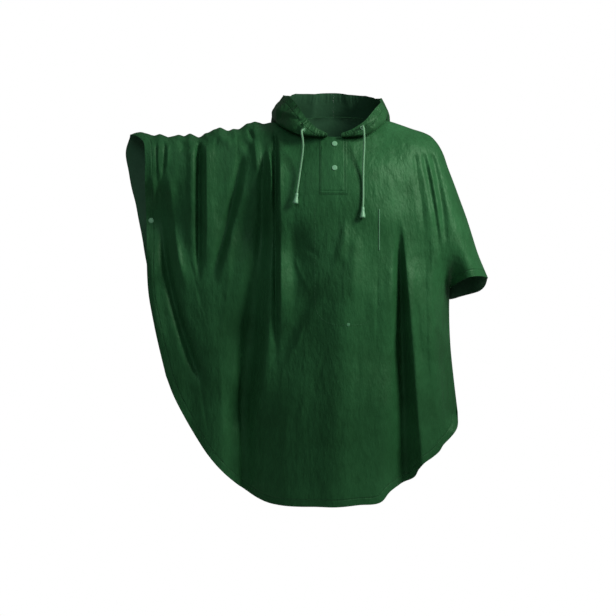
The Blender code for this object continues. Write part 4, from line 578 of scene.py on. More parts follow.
def top_z(x, back):
    """Height of a panel's top edge: right shoulder, neck cut, left shoulder."""
    cut = NECK_SIDE_Z + (NECK_BACK_RISE if back else -NECK_FRONT_DROP) * (1 - (x / NECK_HALF_WIDTH) ** 2)
    return np.where(np.abs(x) < NECK_HALF_WIDTH, cut, np.interp(x, *shoulder_line(back).T))


def full_depth(stations, folds, creases, edges):
    """The depth of a panel's outer face away from the shoulder line, as a function of x and z."""
    base = thin_plate(stations)
    side = fine(edges["side_below"])
    corner = side[0, 1]

    def depth_at(x, z):
        depth = base(x, z) + fold_depth(x, z, folds, soft_fold) + fold_depth(x, z, creases, pressed_crease)
        snap = np.hypot(x - RIGHT_SNAP[0], z - RIGHT_SNAP[1])
        depth = SNAP_DEPTH + (depth - SNAP_DEPTH) * (1 - np.exp(-((snap / PINCH) ** 2)))
        edge = SNAP_DEPTH + SIDE_EDGE_DEPTH * smooth((corner - z) / SIDE_EDGE_RUN)
        pulled_z = np.where(z > corner, corner + (z - corner) * SNAP_PULL, z)
        depth = edge + (depth - edge) * closing(distance(x, pulled_z, side) / SIDE_ROUND)
        return np.maximum(depth, SNAP_DEPTH)

    return depth_at


class Panel:
    """The outer face of one panel: its full depth, turned over the shoulder line as a quarter circle."""

    def __init__(self, stations, folds, creases, edges, back):
        self.edges, self.back = edges, back
        self.facing = 1 if back else -1
        self.outward = np.array([0.0, self.facing, 0.0])
        self.full = full_depth(stations, folds, creases, edges)
        self.line = shoulder_line(back)

    def turn(self, x, z):
        """0 from the end of the turn on, 1 on the shoulder line and more above it."""
        away = np.maximum(distance(x, z, self.line) - ON_LINE, 0)
        away = np.where(z > np.interp(x, *self.line.T), -away, away)
        return 1 - np.minimum(away / SHOULDER_ROUND, 1)

    def points(self, x, z):
        depth = self.full(x, z) * np.sqrt(np.maximum(1 - self.turn(x, z) ** 2, 0))
        return np.stack([x, self.facing * (SEAM_GAP / 2 + depth), z], -1)

    def outside(self, at):
        """Below 0 behind the outer face and above 0 in front of it."""
        x, z = at[..., 0], at[..., 2]
        return np.hypot(self.turn(x, z), np.maximum(at[..., 1] * self.facing, 0) / self.full(x, z)) - 1

    def cleared(self, at, gap, step=1e-4, rounds=8):
        """Points that are behind the face or nearer to it than the gap, moved out to the gap."""
        at = np.array(at)
        for _ in range(rounds):
            here = self.outside(at)
            slope = np.stack([(self.outside(at + way) - here) / step for way in np.eye(3) * step], -1)
            steep = np.maximum(np.linalg.norm(slope, axis=-1), step)
            short = np.clip(gap - here / steep, 0, gap)
            short = np.where(at[..., 1] * self.facing < 0, 0, short)
            at = at + slope / steep[..., None] * short[..., None]
        return at

    def lifted(self, x, z, lift, step=0.0015):
        """Points of the outer face moved out by a lift, with the face's normals there."""
        here = self.points(x, z)
        across = self.points(x + step, z) - self.points(x - step, z)
        down = self.points(x, z + step) - self.points(x, z - step)
        normal = unit(np.cross(across, down))
        normal *= np.sign((normal * self.outward).sum(-1, keepdims=True))
        return here + normal * lift, normal


def coons(top, low, left, right, across, down):
    """A net between four edge curves that meet at their ends; across and down run from 0 to 1."""
    flat_across, flat_down = across.ravel(), down.ravel()
    u, v = flat_across[:, None], flat_down[:, None]
    ends = (1 - v) * through(top, flat_across) + v * through(low, flat_across)
    sides = (1 - u) * through(left, flat_down) + u * through(right, flat_down)
    corners = (1 - v) * ((1 - u) * top[0] + u * top[-1]) + v * ((1 - u) * low[0] + u * low[-1])
    return (ends + sides - corners).reshape(*across.shape, 2)


def row_places(length, arm_place):
    """Places of the rows down a column: close together where the cloth turns over the shoulder."""
    turn = SHOULDER_ROUND / length * (1 - np.cos(np.linspace(0, math.pi / 2, ROWS_TURN + 1)))
    above = np.linspace(turn[-1], arm_place, ROWS_ABOVE + 1)
    below = np.linspace(arm_place, 1, ROWS_BELOW + 1)
    return np.r_[turn, above[1:], below[1:]]


def panel_points(edges, back):
    """The body and the sleeve of one panel, each a grid of rows and columns of x and z."""
    stop_at = np.cumsum([stop["count"] for stop in COLUMNS]) * COLUMNS_FINER
    every = np.arange(stop_at[-1] + 1)
    ends = ("top", "back" if back else "front")
    tops, lows = (np.interp(every, stop_at, [stop[end] for stop in COLUMNS]) for end in ends)
    top = np.c_[tops, top_z(tops, back)]
    hem = fine(edges["hem"], count=600)
    low = np.c_[lows, np.interp(lows, hem[:, 0], hem[:, 1])]
    low[0], low[-1] = edges["hem"][0], edges["hem"][-1]
    above, below = fine(edges["side_above"]), fine(edges["side_below"])
    above[0] = top[-1]
    arm_place = line_length(above) / (line_length(above) + line_length(below))
    lengths = np.linalg.norm(top - low, axis=1)
    down = np.array([row_places(length, arm_place) for length in lengths]).T
    split = ROWS_TURN + ROWS_ABOVE + 1
    upper, lower = down[:split, -1], down[split:, -1]
    side = np.r_[through(above, upper / arm_place), through(below, (lower - arm_place) / (1 - arm_place))]
    arm = through(fine(edges["arm"]), down[:, 0])
    arm_bow = arm - ((1 - down[:, :1]) * top[0] + down[:, :1] * low[0])
    side_bow = side - ((1 - down[:, -1:]) * top[-1] + down[:, -1:] * low[-1])
    body = np.empty((*down.shape, 2))
    for j, share in enumerate(np.linspace(0, 1, len(tops))):
        v = down[:, j][:, None]
        near_arm, near_side = 1 - smooth(share / ARM_REACH), smooth((share - 1) / SIDE_REACH + 1)
        body[:, j] = (1 - v) * top[j] + v * low[j] + near_arm * arm_bow + near_side * side_bow

    seam = fine(SHOULDER_LEFT, count=400)
    shoulder = seam[(seam[:, 0] > SHOULDER_POINT_X) & (seam[:, 0] < SLEEVE_TOP_X)]
    outer = np.r_[shoulder[-1:], seam[seam[:, 0] > SLEEVE_TOP_X]]
    shoulder = np.r_[top[-1:], shoulder]
    across = np.tile(finer(SLEEVE_COLUMNS, SLEEVE_FINER), (split, 1))
    places = np.tile((upper / arm_place)[:, None], (1, across.shape[1]))
    sleeve = coons(shoulder, fine(edges["rim"]), above, outer, across, places)
    sleeve[:, 0] = body[:split, -1]
    return body, sleeve


# ------------------------------------------------------------------ cloth meshes
def tidy_selection():
    """Nothing selected, so that an operator acts on the new piece alone."""
    if bpy.context.object is not None and bpy.context.mode != "OBJECT":
        bpy.ops.object.mode_set(mode="OBJECT")
    bpy.ops.object.select_all(action="DESELECT")


def only(piece):
    tidy_selection()
    piece.select_set(True)
    bpy.context.view_layer.objects.active = piece


def added(name, mesh):
    """A new object with this mesh, selected alone."""
    piece = bpy.data.objects.new(name, mesh)
    bpy.context.scene.collection.objects.link(piece)
    only(piece)
    return piece


def cleaned(merge=False, outwards=False):
    """Merges the doubles of the selected piece, turns its faces outwards, or both."""
    bpy.ops.object.mode_set(mode="EDIT")
    bpy.ops.mesh.select_all(action="SELECT")
    if merge:
        bpy.ops.mesh.remove_doubles(threshold=MERGE)
    if outwards:
        bpy.ops.mesh.normals_make_consistent(inside=False)
    bpy.ops.object.mode_set(mode="OBJECT")


def runs(grid):
    """Lengths along the cloth: across each row and down each column."""
    across = np.linalg.norm(np.diff(grid, axis=1), axis=-1).cumsum(1)
    down = np.linalg.norm(np.diff(grid, axis=0), axis=-1).cumsum(0)
    return np.pad(across, ((0, 0), (1, 0))), np.pad(down, ((1, 0), (0, 0)))


def cloth(name, grids, threads, edges, outward, finishes):
    """One sheet from grids of outer points, with its thread lengths as a UV map and a thin wall inside.

    The finishes are those of its face and of its inside. Edges holds how far each point is from a hem.
    """
    points, faces, uvs, values = [], [], [], []
    start = 0
    for grid, thread, edge in zip(grids, threads, edges):
        rows, columns = grid.shape[:2]
        index = np.arange(rows * columns).reshape(rows, columns) + start
        corners = np.stack([index[:-1, :-1], index[1:, :-1], index[1:, 1:], index[:-1, 1:]], -1)
        faces.append(corners.reshape(-1, 4))
        points.append(grid.reshape(-1, 3))
        uvs.append(np.stack(thread, -1).reshape(-1, 2))
        values.append(edge.ravel())
        start += rows * columns
    points, faces, uvs, values = (np.concatenate(each) for each in (points, faces, uvs, values))
    a, b, c = (points[faces[:, k]] for k in range(3))
    if (np.cross(b - a, c - a) @ np.asarray(outward, float)).sum() < 0:
        faces = faces[:, ::-1]
    mesh = bpy.data.meshes.new(name)
    mesh.from_pydata(points.tolist(), [], faces.tolist())
    mesh.uv_layers.new(name="threads").data.foreach_set("uv", uvs[faces.ravel()].ravel())
    mesh.attributes.new("edge", "FLOAT", "POINT").data.foreach_set("value", values.astype(np.float32))
    piece = added(name, mesh)
    cleaned(merge=True)
    for finish in finishes:
        piece.data.materials.append(finish)
    solidify = piece.modifiers.new("wall", "SOLIDIFY")
    solidify.thickness, solidify.offset = CLOTH_WALL, -1
    solidify.material_offset = len(finishes) - 1
    bpy.ops.object.modifier_apply(modifier=solidify.name)
    bpy.ops.object.shade_smooth_by_angle(angle=math.radians(60))
    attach(piece, "root")
    return piece


def stitches(name, lines, finish):
    """Lockstitch along lines of points and normals: short slim threads that dip in at both ends."""
    centres, ways, ups = [], [], []
    for points, normals in lines:
        run = run_of(points)
        pitch = STITCH + STITCH_GAP
        at = np.arange(pitch / 2, run[-1] - pitch / 2, pitch)
        ends = [np.stack([np.interp(at + side * STITCH / 2, run, points[:, k]) for k in range(3)], -1)
                for side in (-1, 1)]  # fmt: skip
        centres.append((ends[0] + ends[1]) / 2)
        ways.append(ends[1] - ends[0])
        ups.append(np.stack([np.interp(at, run, normals[:, k]) for k in range(3)], -1))
    centres, ways, ups = (np.concatenate(each) for each in (centres, ways, ups))
    ways = unit(ways)
    ups = unit(ups - (ups * ways).sum(1, keepdims=True) * ways)
    sides = np.cross(ways, ups)
    half, across = STITCH / 2, THREAD / 2
    dip, rise = -STITCH_DIP * THREAD, STITCH_RISE * THREAD
    rings = [(way * half * STITCH_FULL, side * across, up * across + rise)
             for way in (-1, 1) for side, up in ((1, 0), (0, 1), (-1, 0), (0, -1))]  # fmt: skip
    corners = [(-half, 0, dip), *rings, (half, 0, dip)]
    points = np.stack([centres + way * ways + side * sides + up * ups for way, side, up in corners], 1)
    faces = [(0, 1 + (k + 1) % 4, 1 + k) for k in range(4)] + [(9, 5 + k, 5 + (k + 1) % 4) for k in range(4)]
    faces += [(1 + k, 1 + (k + 1) % 4, 5 + (k + 1) % 4, 5 + k) for k in range(4)]
    polygons = [[corner + len(corners) * i for corner in face] for i in range(len(centres)) for face in faces]
    mesh = bpy.data.meshes.new(name)
    mesh.from_pydata(points.reshape(-1, 3).tolist(), [], polygons)
    piece = added(name, mesh)
    cleaned(outwards=True)
    bpy.ops.object.shade_smooth()
    piece.data.materials.append(finish)
    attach(piece, "root")
    return piece


# ------------------------------------------------------------------ materials
def linear(colour):
    """An sRGB hex colour as linear RGBA."""
    parts = [int(colour[k : k + 2], 16) / 255 for k in (1, 3, 5)]
    return (*(c / 12.92 if c <= 0.04045 else ((c + 0.055) / 1.055) ** 2.4 for c in parts), 1.0)


def node(tree, kind, settings=(), **inputs):
    """Adds a node with settings. Inputs, by name or number, take a value, a socket or a node's first output."""
    made = tree.nodes.new("ShaderNode" + kind)
    for key, value in dict(settings).items():
        setattr(made, key, value)
    for key, value in inputs.items():
        socket = made.inputs[int(key[1:])] if key[1:].isdigit() else made.inputs[key.replace("_", " ")]
        if isinstance(value, bpy.types.Node):
            value = value.outputs[0]
        if isinstance(value, bpy.types.NodeSocket):
            tree.links.new(value, socket)
        else:
            socket.default_value = value
    return made


def new_material(name, **constants):
    finish = bpy.data.materials.new(name)
    finish.use_nodes = True
    shader = finish.node_tree.nodes["Principled BSDF"]
    for key, value in constants.items():
        shader.inputs[key.replace("_", " ")].default_value = value
    return finish, finish.node_tree, shader


def per_metre(size_mm):
    """The scale that makes a pattern's features about so many millimetres wide."""
    return 1000 / size_mm


OPERATIONS = "ADD SUBTRACT MULTIPLY MULTIPLY_ADD ABSOLUTE MAXIMUM SMOOTH_MIN SINE"
ADD, SUBTRACT, MULTIPLY, MULTIPLY_ADD, ABSOLUTE, MAXIMUM, SMOOTH_MIN, SINE = (
    {"operation": name} for name in OPERATIONS.split())  # fmt: skip
COLOURS = {"data_type": "RGBA"}
WAVES = 20 / math.tau  # that a wave texture draws to a metre at scale 1

THREAD_GAP_MM = 4.3426
TONE_MM, RUMPLE_MM, CRINKLE_MM, PUCKER_MM = 110, 42, 13, 6
CRINKLE_LEAN, CRINKLE_SQUASH = 0.12, 0.42  # off the vertical, and width against length
GROOVE_HALF_WIDTH, GROOVE_ROUND = 0.0025, 0.3  # of the hem's stitch line
PUCKER_REACH = 1.6  # from the edge, in widths of the hem


def coated_nylon(name, dark, light, hem, rumple_depth):
    """Polyurethane-coated nylon taffeta: smooth and tightly woven, so folds carry a soft satin light.

    The thread pattern runs on the cloth's own lengths. It is drawn 4.3 mm apart, some sixteen times
    as coarse as real taffeta, so that it shows. Fine crinkles come from being packed in a pouch.
    """
    finish, tree, shader = new_material(
        name, IOR=1.5, Specular_IOR_Level=0.30, Specular_Tint=linear("#a9e0b6"), Sheen_Weight=0.06,
        Sheen_Roughness=0.35, Sheen_Tint=linear("#6fb885"))  # fmt: skip
    place = node(tree, "TexCoord").outputs["Object"]
    threads = node(tree, "UVMap", {"uv_map": "threads"}).outputs["UV"]
    edge = node(tree, "Attribute", {"attribute_name": "edge"}).outputs["Fac"]
    lengthened = node(tree, "Mapping", Vector=place, Rotation=(0.0, CRINKLE_LEAN, 0.0),
                      Scale=(1.0, 1.0, CRINKLE_SQUASH))  # fmt: skip
    crinkle = node(tree, "TexNoise", Vector=lengthened, Scale=per_metre(CRINKLE_MM), Detail=4.0, Roughness=0.6)
    rumple = node(tree, "TexNoise", Vector=lengthened, Scale=per_metre(RUMPLE_MM), Detail=3.0, Roughness=0.55)

    # Broad, faint changes of tone at random, and painted shade along the small crinkles: the colour follows their
    # relief, darker in their troughs and lighter on their crests.
    tone = node(tree, "TexNoise", Vector=place, Scale=per_metre(TONE_MM), Detail=3.0, Roughness=0.55)
    painted_crinkle_shade = node(tree, "Math", MULTIPLY, i0=crinkle, i1=0.3)
    ramp = node(tree, "ValToRGB", Fac=node(tree, "Math", MULTIPLY_ADD, i0=tone, i1=0.7, i2=painted_crinkle_shade))
    for stop, position, colour in zip(ramp.color_ramp.elements, (0.36, 0.66), (dark, light)):
        stop.position, stop.color = position, linear(colour)
    tree.links.new(ramp.outputs["Color"], shader.inputs["Base Color"])

    # Satin: a roughness of about 0.46, drier on the crinkles.
    rough = node(tree, "Math", MULTIPLY_ADD, i0=crinkle, i1=0.2, i2=0.36)
    tree.links.new(rough.outputs[0], shader.inputs["Roughness"])

    # Relief: warp and weft, rumples and crinkles, the groove of the hem's stitch line, and the hem's puckers.
    warp, weft = (
        node(tree, "TexWave", {"wave_type": "BANDS", "bands_direction": way, "wave_profile": "SIN"},
             Vector=threads, Scale=per_metre(THREAD_GAP_MM) / WAVES).outputs["Fac"]
        for way in "XY")  # fmt: skip
    weave = node(tree, "Math", MULTIPLY, i0=warp, i1=weft)
    groove = node(tree, "Math", ABSOLUTE, i0=node(tree, "Math", SUBTRACT, i0=edge, i1=hem))
    groove = node(tree, "Math", MULTIPLY, i0=groove, i1=1 / GROOVE_HALF_WIDTH)
    groove = node(tree, "Math", SMOOTH_MIN, i0=groove, i1=1.0, i2=GROOVE_ROUND)
    far = node(tree, "Math", {**MULTIPLY, "use_clamp": True}, i0=edge, i1=1 / (hem * PUCKER_REACH))
    near = node(tree, "Math", {**SUBTRACT, "use_clamp": True}, i0=1.0, i1=far)
    pucker = node(tree, "TexNoise", Vector=threads, Scale=per_metre(PUCKER_MM), Detail=2.0)
    pucker_strength = node(tree, "Math", MULTIPLY, i0=near, i1=0.8)
    relief = ((weave, 0.10, 0.0002), (rumple, 0.7, rumple_depth), (crinkle, 0.6, 0.0038),
              (groove, 0.9, 0.0009), (pucker, pucker_strength, 0.0012))  # fmt: skip
    below = {}
    for height, strength, depth in relief:
        bump = node(tree, "Bump", Height=height, Strength=strength, Distance=depth, **below)
        below = {"Normal": bump}
    tree.links.new(bump.outputs["Normal"], shader.inputs["Normal"])
    return finish


def coating(name, dark, light):
    """Polyurethane coating on the inside of the nylon: a greyer green, dull and a little mottled."""
    finish, tree, shader = new_material(name, IOR=1.5, Specular_IOR_Level=0.2, Roughness=0.62)
    place = node(tree, "TexCoord").outputs["Object"]
    tone = node(tree, "TexNoise", Vector=place, Scale=per_metre(42), Detail=4.0)
    mix = node(tree, "Mix", COLOURS, Factor=tone, i6=linear(dark), i7=linear(light))
    tree.links.new(mix.outputs[2], shader.inputs["Base Color"])
    crinkle = node(tree, "TexNoise", Vector=place, Scale=per_metre(17), Detail=4.0)
    bump = node(tree, "Bump", Strength=0.5, Distance=0.002, Height=crinkle)
    tree.links.new(bump.outputs["Normal"], shader.inputs["Normal"])
    return finish


def moulded_acetal(name, dark, light):
    """Injection-moulded acetal: satin, with a faint orange-peel from the mould. Its colour is even but for painted
    shade, a little darker in the peel's pits.
    """
    finish, tree, shader = new_material(name, IOR=1.48, Roughness=0.38)
    place = node(tree, "TexCoord").outputs["Object"]
    peel = node(tree, "TexNoise", Vector=place, Scale=per_metre(1.1), Detail=2.0)
    # Painted shade: the colour follows the peel's relief, a little darker in its pits.
    peel_painted_shade = node(tree, "Mix", COLOURS, Factor=peel, i6=linear(dark), i7=linear(light))
    tree.links.new(peel_painted_shade.outputs[2], shader.inputs["Base Color"])
    bump = node(tree, "Bump", Strength=0.15, Distance=0.0002, Height=peel)
    tree.links.new(bump.outputs["Normal"], shader.inputs["Normal"])
    return finish


def braided_polyester(name, dark, light, around, pitch):
    """Braided polyester cord: two sets of strands cross in a diamond pattern, with painted shade in the grooves
    between them.
    """
    finish, tree, shader = new_material(name, IOR=1.5, Roughness=0.7, Sheen_Weight=0.3, Sheen_Roughness=0.5,
                                        Sheen_Tint=linear("#d7efdc"))  # fmt: skip
    threads = node(tree, "UVMap", {"uv_map": "threads"}).outputs["UV"]
    split = node(tree, "SeparateXYZ", Vector=threads)
    turn = node(tree, "Math", MULTIPLY, i0=split.outputs["Y"], i1=math.tau * around)
    climb = node(tree, "Math", MULTIPLY, i0=split.outputs["X"], i1=math.tau / pitch)
    sets = [node(tree, "Math", SINE, i0=node(tree, "Math", way, i0=climb, i1=turn)) for way in (ADD, SUBTRACT)]
    strands = node(tree, "Math", MAXIMUM, i0=sets[0], i1=sets[1])
    braid = node(tree, "Math", MULTIPLY_ADD, i0=strands, i1=0.5, i2=0.5)
    # Painted shade: the colour follows the strands' height, darker in the grooves between them.
    mix = node(tree, "Mix", COLOURS, Factor=braid, i6=linear(dark), i7=linear(light))
    tree.links.new(mix.outputs[2], shader.inputs["Base Color"])
    bump = node(tree, "Bump", Strength=0.6, Distance=0.0004, Height=braid)
    tree.links.new(bump.outputs["Normal"], shader.inputs["Normal"])
    return finish


def polyester_thread(name, dark, light):
    """Spun polyester sewing thread: matt, a shade off the cloth's own colour."""
    finish, tree, shader = new_material(name, IOR=1.5, Roughness=0.75)
    place = node(tree, "TexCoord").outputs["Object"]
    fuzz = node(tree, "TexNoise", Vector=place, Scale=per_metre(0.4), Detail=1.0)
    mix = node(tree, "Mix", COLOURS, Factor=fuzz, i6=linear(dark), i7=linear(light))
    tree.links.new(mix.outputs[2], shader.inputs["Base Color"])
    return finish


def painted_studio(name, colour):
    """Matt white paint on the studio's floor, with a faint light of its own."""
    paint = linear(colour)
    finish, _, _ = new_material(name, Roughness=0.9, Base_Color=paint, Emission_Color=paint,
                                Emission_Strength=FLOOR_LIGHT)  # fmt: skip
    return finish


# ------------------------------------------------------------------ camera, floor, light
def build_camera():
    camera = bpy.data.objects.new("camera", bpy.data.cameras.new("camera"))
    camera.data.lens, camera.data.sensor_width = CAMERA_LENS, 36
    camera.data.clip_start, camera.data.clip_end = 0.1, 60
    camera.location = (AIM[0], AIM[1] - CAMERA_DISTANCE, AIM[2])
    camera.rotation_euler = (math.pi / 2, 0, 0)
    bpy.context.scene.collection.objects.link(camera)
    bpy.context.scene.camera = camera


def build_floor(finish):
    """A pale round floor under the poncho."""
    tidy_selection()
    bpy.ops.mesh.primitive_circle_add(vertices=96, radius=FLOOR_RADIUS, fill_type="NGON", location=(0, 0, FLOOR_Z))
    floor = bpy.context.object
    floor.name = "floor"
    floor.data.materials.append(finish)


def area_light(name, place, target, size, power, colour, spread):
    light = bpy.data.objects.new(name, bpy.data.lights.new(name, "AREA"))
    light.data.spread = math.radians(spread)
    light.data.shape, light.data.size, light.data.size_y = "RECTANGLE", size[0], size[1]
    light.data.energy, light.data.color = power, linear(colour)[:3]
    light.location = place
    light.rotation_euler = (Vector(target) - Vector(place)).to_track_quat("-Z", "Y").to_euler()
    bpy.context.scene.collection.objects.link(light)


def build_light():
    """Soft boxes to the front right, the front left, above and behind, in a room of white walls."""
    for light in LIGHTS:
        area_light(**light)
    world = bpy.data.worlds.new("studio")
    world.use_nodes = True
    tree = world.node_tree
    dim = tree.nodes["Background"]
    dim.inputs["Color"].default_value, dim.inputs["Strength"].default_value = linear("#f4f6f5"), WALL_LIGHT
    seen = node(tree, "Background", Color=linear("#ffffff"), Strength=1.0)
    looking = node(tree, "LightPath").outputs["Is Camera Ray"]
    both = node(tree, "MixShader", i0=looking, i1=dim, i2=seen)
    tree.links.new(both.outputs[0], tree.nodes["World Output"].inputs["Surface"])
    bpy.context.scene.world = world
    bpy.context.scene.view_settings.view_transform = "Standard"


# ------------------------------------------------------------------ drawcords and small hard pieces
def build_drawcord(side, finish):
    """A round braided cord: rings of points along its route, with closed ends."""
    centre = through(CORD_ROUTES[side], np.linspace(0, 1, CORD_RINGS))
    way = unit(np.gradient(centre, axis=0))
    first = unit(np.cross(way, (1.0, 0.0, 0.0)))
    second = np.cross(way, first)
    turn = np.linspace(0, math.tau, CORD_SIDES, endpoint=False)
    rings = centre[:, None] + CORD_DIAMETER / 2 * (
        np.cos(turn)[None, :, None] * first[:, None] + np.sin(turn)[None, :, None] * second[:, None])  # fmt: skip
    run = run_of(centre)
    faces, uvs = [], []
    for i in range(CORD_RINGS - 1):
        for k in range(CORD_SIDES):
            around = ((i, k), (i, k + 1), (i + 1, k + 1), (i + 1, k))
            faces.append([ring * CORD_SIDES + corner % CORD_SIDES for ring, corner in around])
            uvs += [(run[ring], corner / CORD_SIDES) for ring, corner in around]
    last = (CORD_RINGS - 1) * CORD_SIDES
    faces += [range(CORD_SIDES)[::-1], range(last, last + CORD_SIDES)]
    uvs += [(run[0], 0.0)] * CORD_SIDES + [(run[-1], 0.0)] * CORD_SIDES
    mesh = bpy.data.meshes.new(f"drawcord_{side}_braid")
    mesh.from_pydata(rings.reshape(-1, 3).tolist(), [], faces)
    mesh.uv_layers.new(name="threads").data.foreach_set("uv", np.array(uvs, np.float32).ravel())
    cord = added(mesh.name, mesh)
    cleaned(outwards=True)
    bpy.ops.object.shade_smooth_by_angle(angle=math.radians(50))
    cord.data.materials.append(finish)
    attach(cord, "root")
    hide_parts(f"drawcord_{side}")
    return cord, centre


def stand_of(name, foot_height=2e-4):
    """Where a small round CAD piece stands: the middle of its foot, and the way it faces."""
    points = np.array([vert.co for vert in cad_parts[name].data.vertices])
    middle = (points.min(0) + points.max(0)) / 2
    points = np.unique(points.round(6), axis=0)
    _, _, ways = np.linalg.svd(points - points.mean(0))
    axis = ways[2] * np.sign(ways[2][1] * middle[1])
    heights = points @ axis
    foot = points[heights < heights.min() + foot_height].mean(0)
    return foot, axis


def on_cloth(name, panel, lift):
    """Where the CAD's snap or rivet stands on the finer cloth, and the way it faces."""
    foot, _ = stand_of(name)
    return panel.lifted(foot[0], foot[2], lift)


def placed(piece, place, axis, node_name, finish, slot):
    """Moves a piece modelled upright at the origin to its place, and puts the place in its mesh."""
    turn = Vector((0, 0, 1)).rotation_difference(Vector(axis)).to_matrix().to_4x4()
    turn.translation = Vector(place)
    piece.data.transform(turn)
    piece.data.materials.clear()
    piece.data.materials.append(finish)
    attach(piece, "root")
    if node_name:
        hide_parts(node_name)
    return piece


def copied(piece, name):
    tidy_selection()
    copy = piece.copy()
    copy.data = piece.data.copy()
    copy.name = copy.data.name = name
    bpy.context.scene.collection.objects.link(copy)
    return copy


def select_between(piece, low, high):
    """Selects the faces whose middle is between two heights."""
    bpy.ops.object.mode_set(mode="EDIT")
    bpy.ops.mesh.select_mode(type="FACE")
    bpy.ops.mesh.select_all(action="DESELECT")
    data = bmesh.from_edit_mesh(piece.data)
    for face in data.faces:
        face.select = low <= face.calc_center_median().z <= high
    bmesh.update_edit_mesh(piece.data)


def snap_cap(name, radius, height):
    """A moulded snap cap: a low drum with a rounded rim and a shallow dish in its face."""
    tidy_selection()
    bpy.ops.mesh.primitive_cylinder_add(vertices=40, radius=radius, depth=height, location=(0, 0, height / 2))
    cap = bpy.context.object
    cap.name = cap.data.name = name
    select_between(cap, height * 0.9, height * 1.1)
    for inset, rise in SNAP_FACE:
        bpy.ops.mesh.inset(thickness=radius * inset)
        bpy.ops.transform.translate(value=(0, 0, height * rise))
    bpy.ops.object.mode_set(mode="OBJECT")
    bevel = cap.modifiers.new("rounded", "BEVEL")
    bevel.width, bevel.segments, bevel.angle_limit = height * SNAP_ROUND, 3, math.radians(40)
    bpy.ops.object.modifier_apply(modifier=bevel.name)
    bpy.ops.object.shade_smooth_by_angle(angle=math.radians(35))
    return cap


def eyelet_ring(name):
    """A rolled eyelet: a ring with a round lip about an open hole."""
    tidy_selection()
    middle = (EYELET_RADIUS + EYELET_HOLE) / 2
    thick = (EYELET_RADIUS - EYELET_HOLE) / 2
    bpy.ops.mesh.primitive_torus_add(major_radius=middle, minor_radius=thick, major_segments=36, minor_segments=12)
    ring = bpy.context.object
    ring.name = ring.data.name = name
    bpy.ops.object.mode_set(mode="EDIT")
    bpy.ops.mesh.select_all(action="SELECT")
    bpy.ops.transform.resize(value=(1, 1, EYELET_HEIGHT / 2 / thick), center_override=(0, 0, 0))
    bpy.ops.transform.translate(value=(0, 0, EYELET_HEIGHT / 2))
    bpy.ops.object.mode_set(mode="OBJECT")
    bpy.ops.object.shade_smooth()
    return ring


BELL = [  # radius and height, from the middle of its top down the outside and up into its foot
    (0.0000, 0.0000), (0.0028, 0.0000), (0.0036, 0.0000), (0.0042, 0.0012), (0.0042, 0.0050),
    (0.0045, 0.0062), (0.0042, 0.0074), (0.0044, 0.0100), (0.0054, 0.0150), (0.0065, 0.0200),
    (0.0071, 0.0236), (0.0071, 0.0256), (0.0066, 0.0268), (0.0054, 0.0268), (0.0050, 0.0250),
    (0.0000, 0.0246),
]  # fmt: skip


def cord_bell(name):
    """A cord end: a small bell, spun from its profile, with a collar above and a dished foot."""
    mesh = bpy.data.meshes.new(name)
    points = [(radius, 0.0, height) for radius, height in BELL]
    mesh.from_pydata(points, [(i, i + 1) for i in range(len(points) - 1)], [])
    bell = added(name, mesh)
    bpy.ops.object.mode_set(mode="EDIT")
    bpy.ops.mesh.select_all(action="SELECT")
    bpy.ops.mesh.spin(steps=36, angle=math.tau, center=(0, 0, 0), axis=(0, 0, 1))
    cleaned(merge=True, outwards=True)
    bpy.ops.object.shade_smooth_by_angle(angle=math.radians(40))
    return bell


# ------------------------------------------------------------------ hems and seams
def edge_distance(grid, line):
    """How far each point of a grid is from the nearest point of a line."""
    tree = KDTree(len(line))
    for i, point in enumerate(line):
        tree.insert(point, i)
    tree.balance()
    flat = grid.reshape(-1, 3)
    return np.array([tree.find(point)[2] for point in flat]).reshape(grid.shape[:2])


def evenly(line, gap=LINE_STEP):
    """The same line with its points that far apart."""
    run = run_of(line)
    at = np.linspace(0, run[-1], max(round(run[-1] / gap), 2) + 1)
    return np.stack([np.interp(at, run, line[:, k]) for k in range(line.shape[1])], -1)


def walked_in(panel, line, inside, far, step=0.001):
    """A line on the cloth that keeps a distance from an edge, walked in over the face from it.

    Inside is the x and z of a place on the cloth's side of the edge.
    """
    at = panel.points(line[:, 0], line[:, 1])
    way = np.cross(panel.lifted(line[:, 0], line[:, 1], 0)[1], np.gradient(at, axis=0))
    aim = np.stack([inside[0] - at[:, 0], np.zeros(len(at)), inside[1] - at[:, 2]], -1)
    way *= np.sign((way * aim).sum(-1, keepdims=True))
    for _ in range(round(far / step)):
        normal = panel.lifted(at[:, 0], at[:, 2], 0)[1]
        way = unit(way - (way * normal).sum(-1, keepdims=True) * normal)
        at = at + way * step
        at = panel.points(at[:, 0], at[:, 2])
    return at


def free_edges(panel):
    """The hemmed edges: arm opening, hem and open side in one run, and the sleeve's rim."""
    side = fine(panel.edges["side_below"])[::-1]
    body = np.r_[fine(panel.edges["arm"]), fine(panel.edges["hem"], count=400)[1:], side[1:]]
    return {"body": evenly(body), "rim": evenly(fine(panel.edges["rim"]))}


def hem_stitch_lines(panel):
    """Where the hems' stitches run, a hem's width in from the free edges."""
    lines = []
    edges = free_edges(panel)
    for name, inside in (("body", (-0.05, -0.45)), ("rim", (0.30, -0.25))):
        on_edge = panel.points(edges[name][:, 0], edges[name][:, 1])
        at = walked_in(panel, edges[name], inside, HEM_WIDTH)
        at = at[edge_distance(at[None], on_edge)[0] > HEM_WIDTH * HEM_KEPT]
        lines.append(panel.lifted(at[:, 0], at[:, 2], STITCH_LIFT))
    return lines


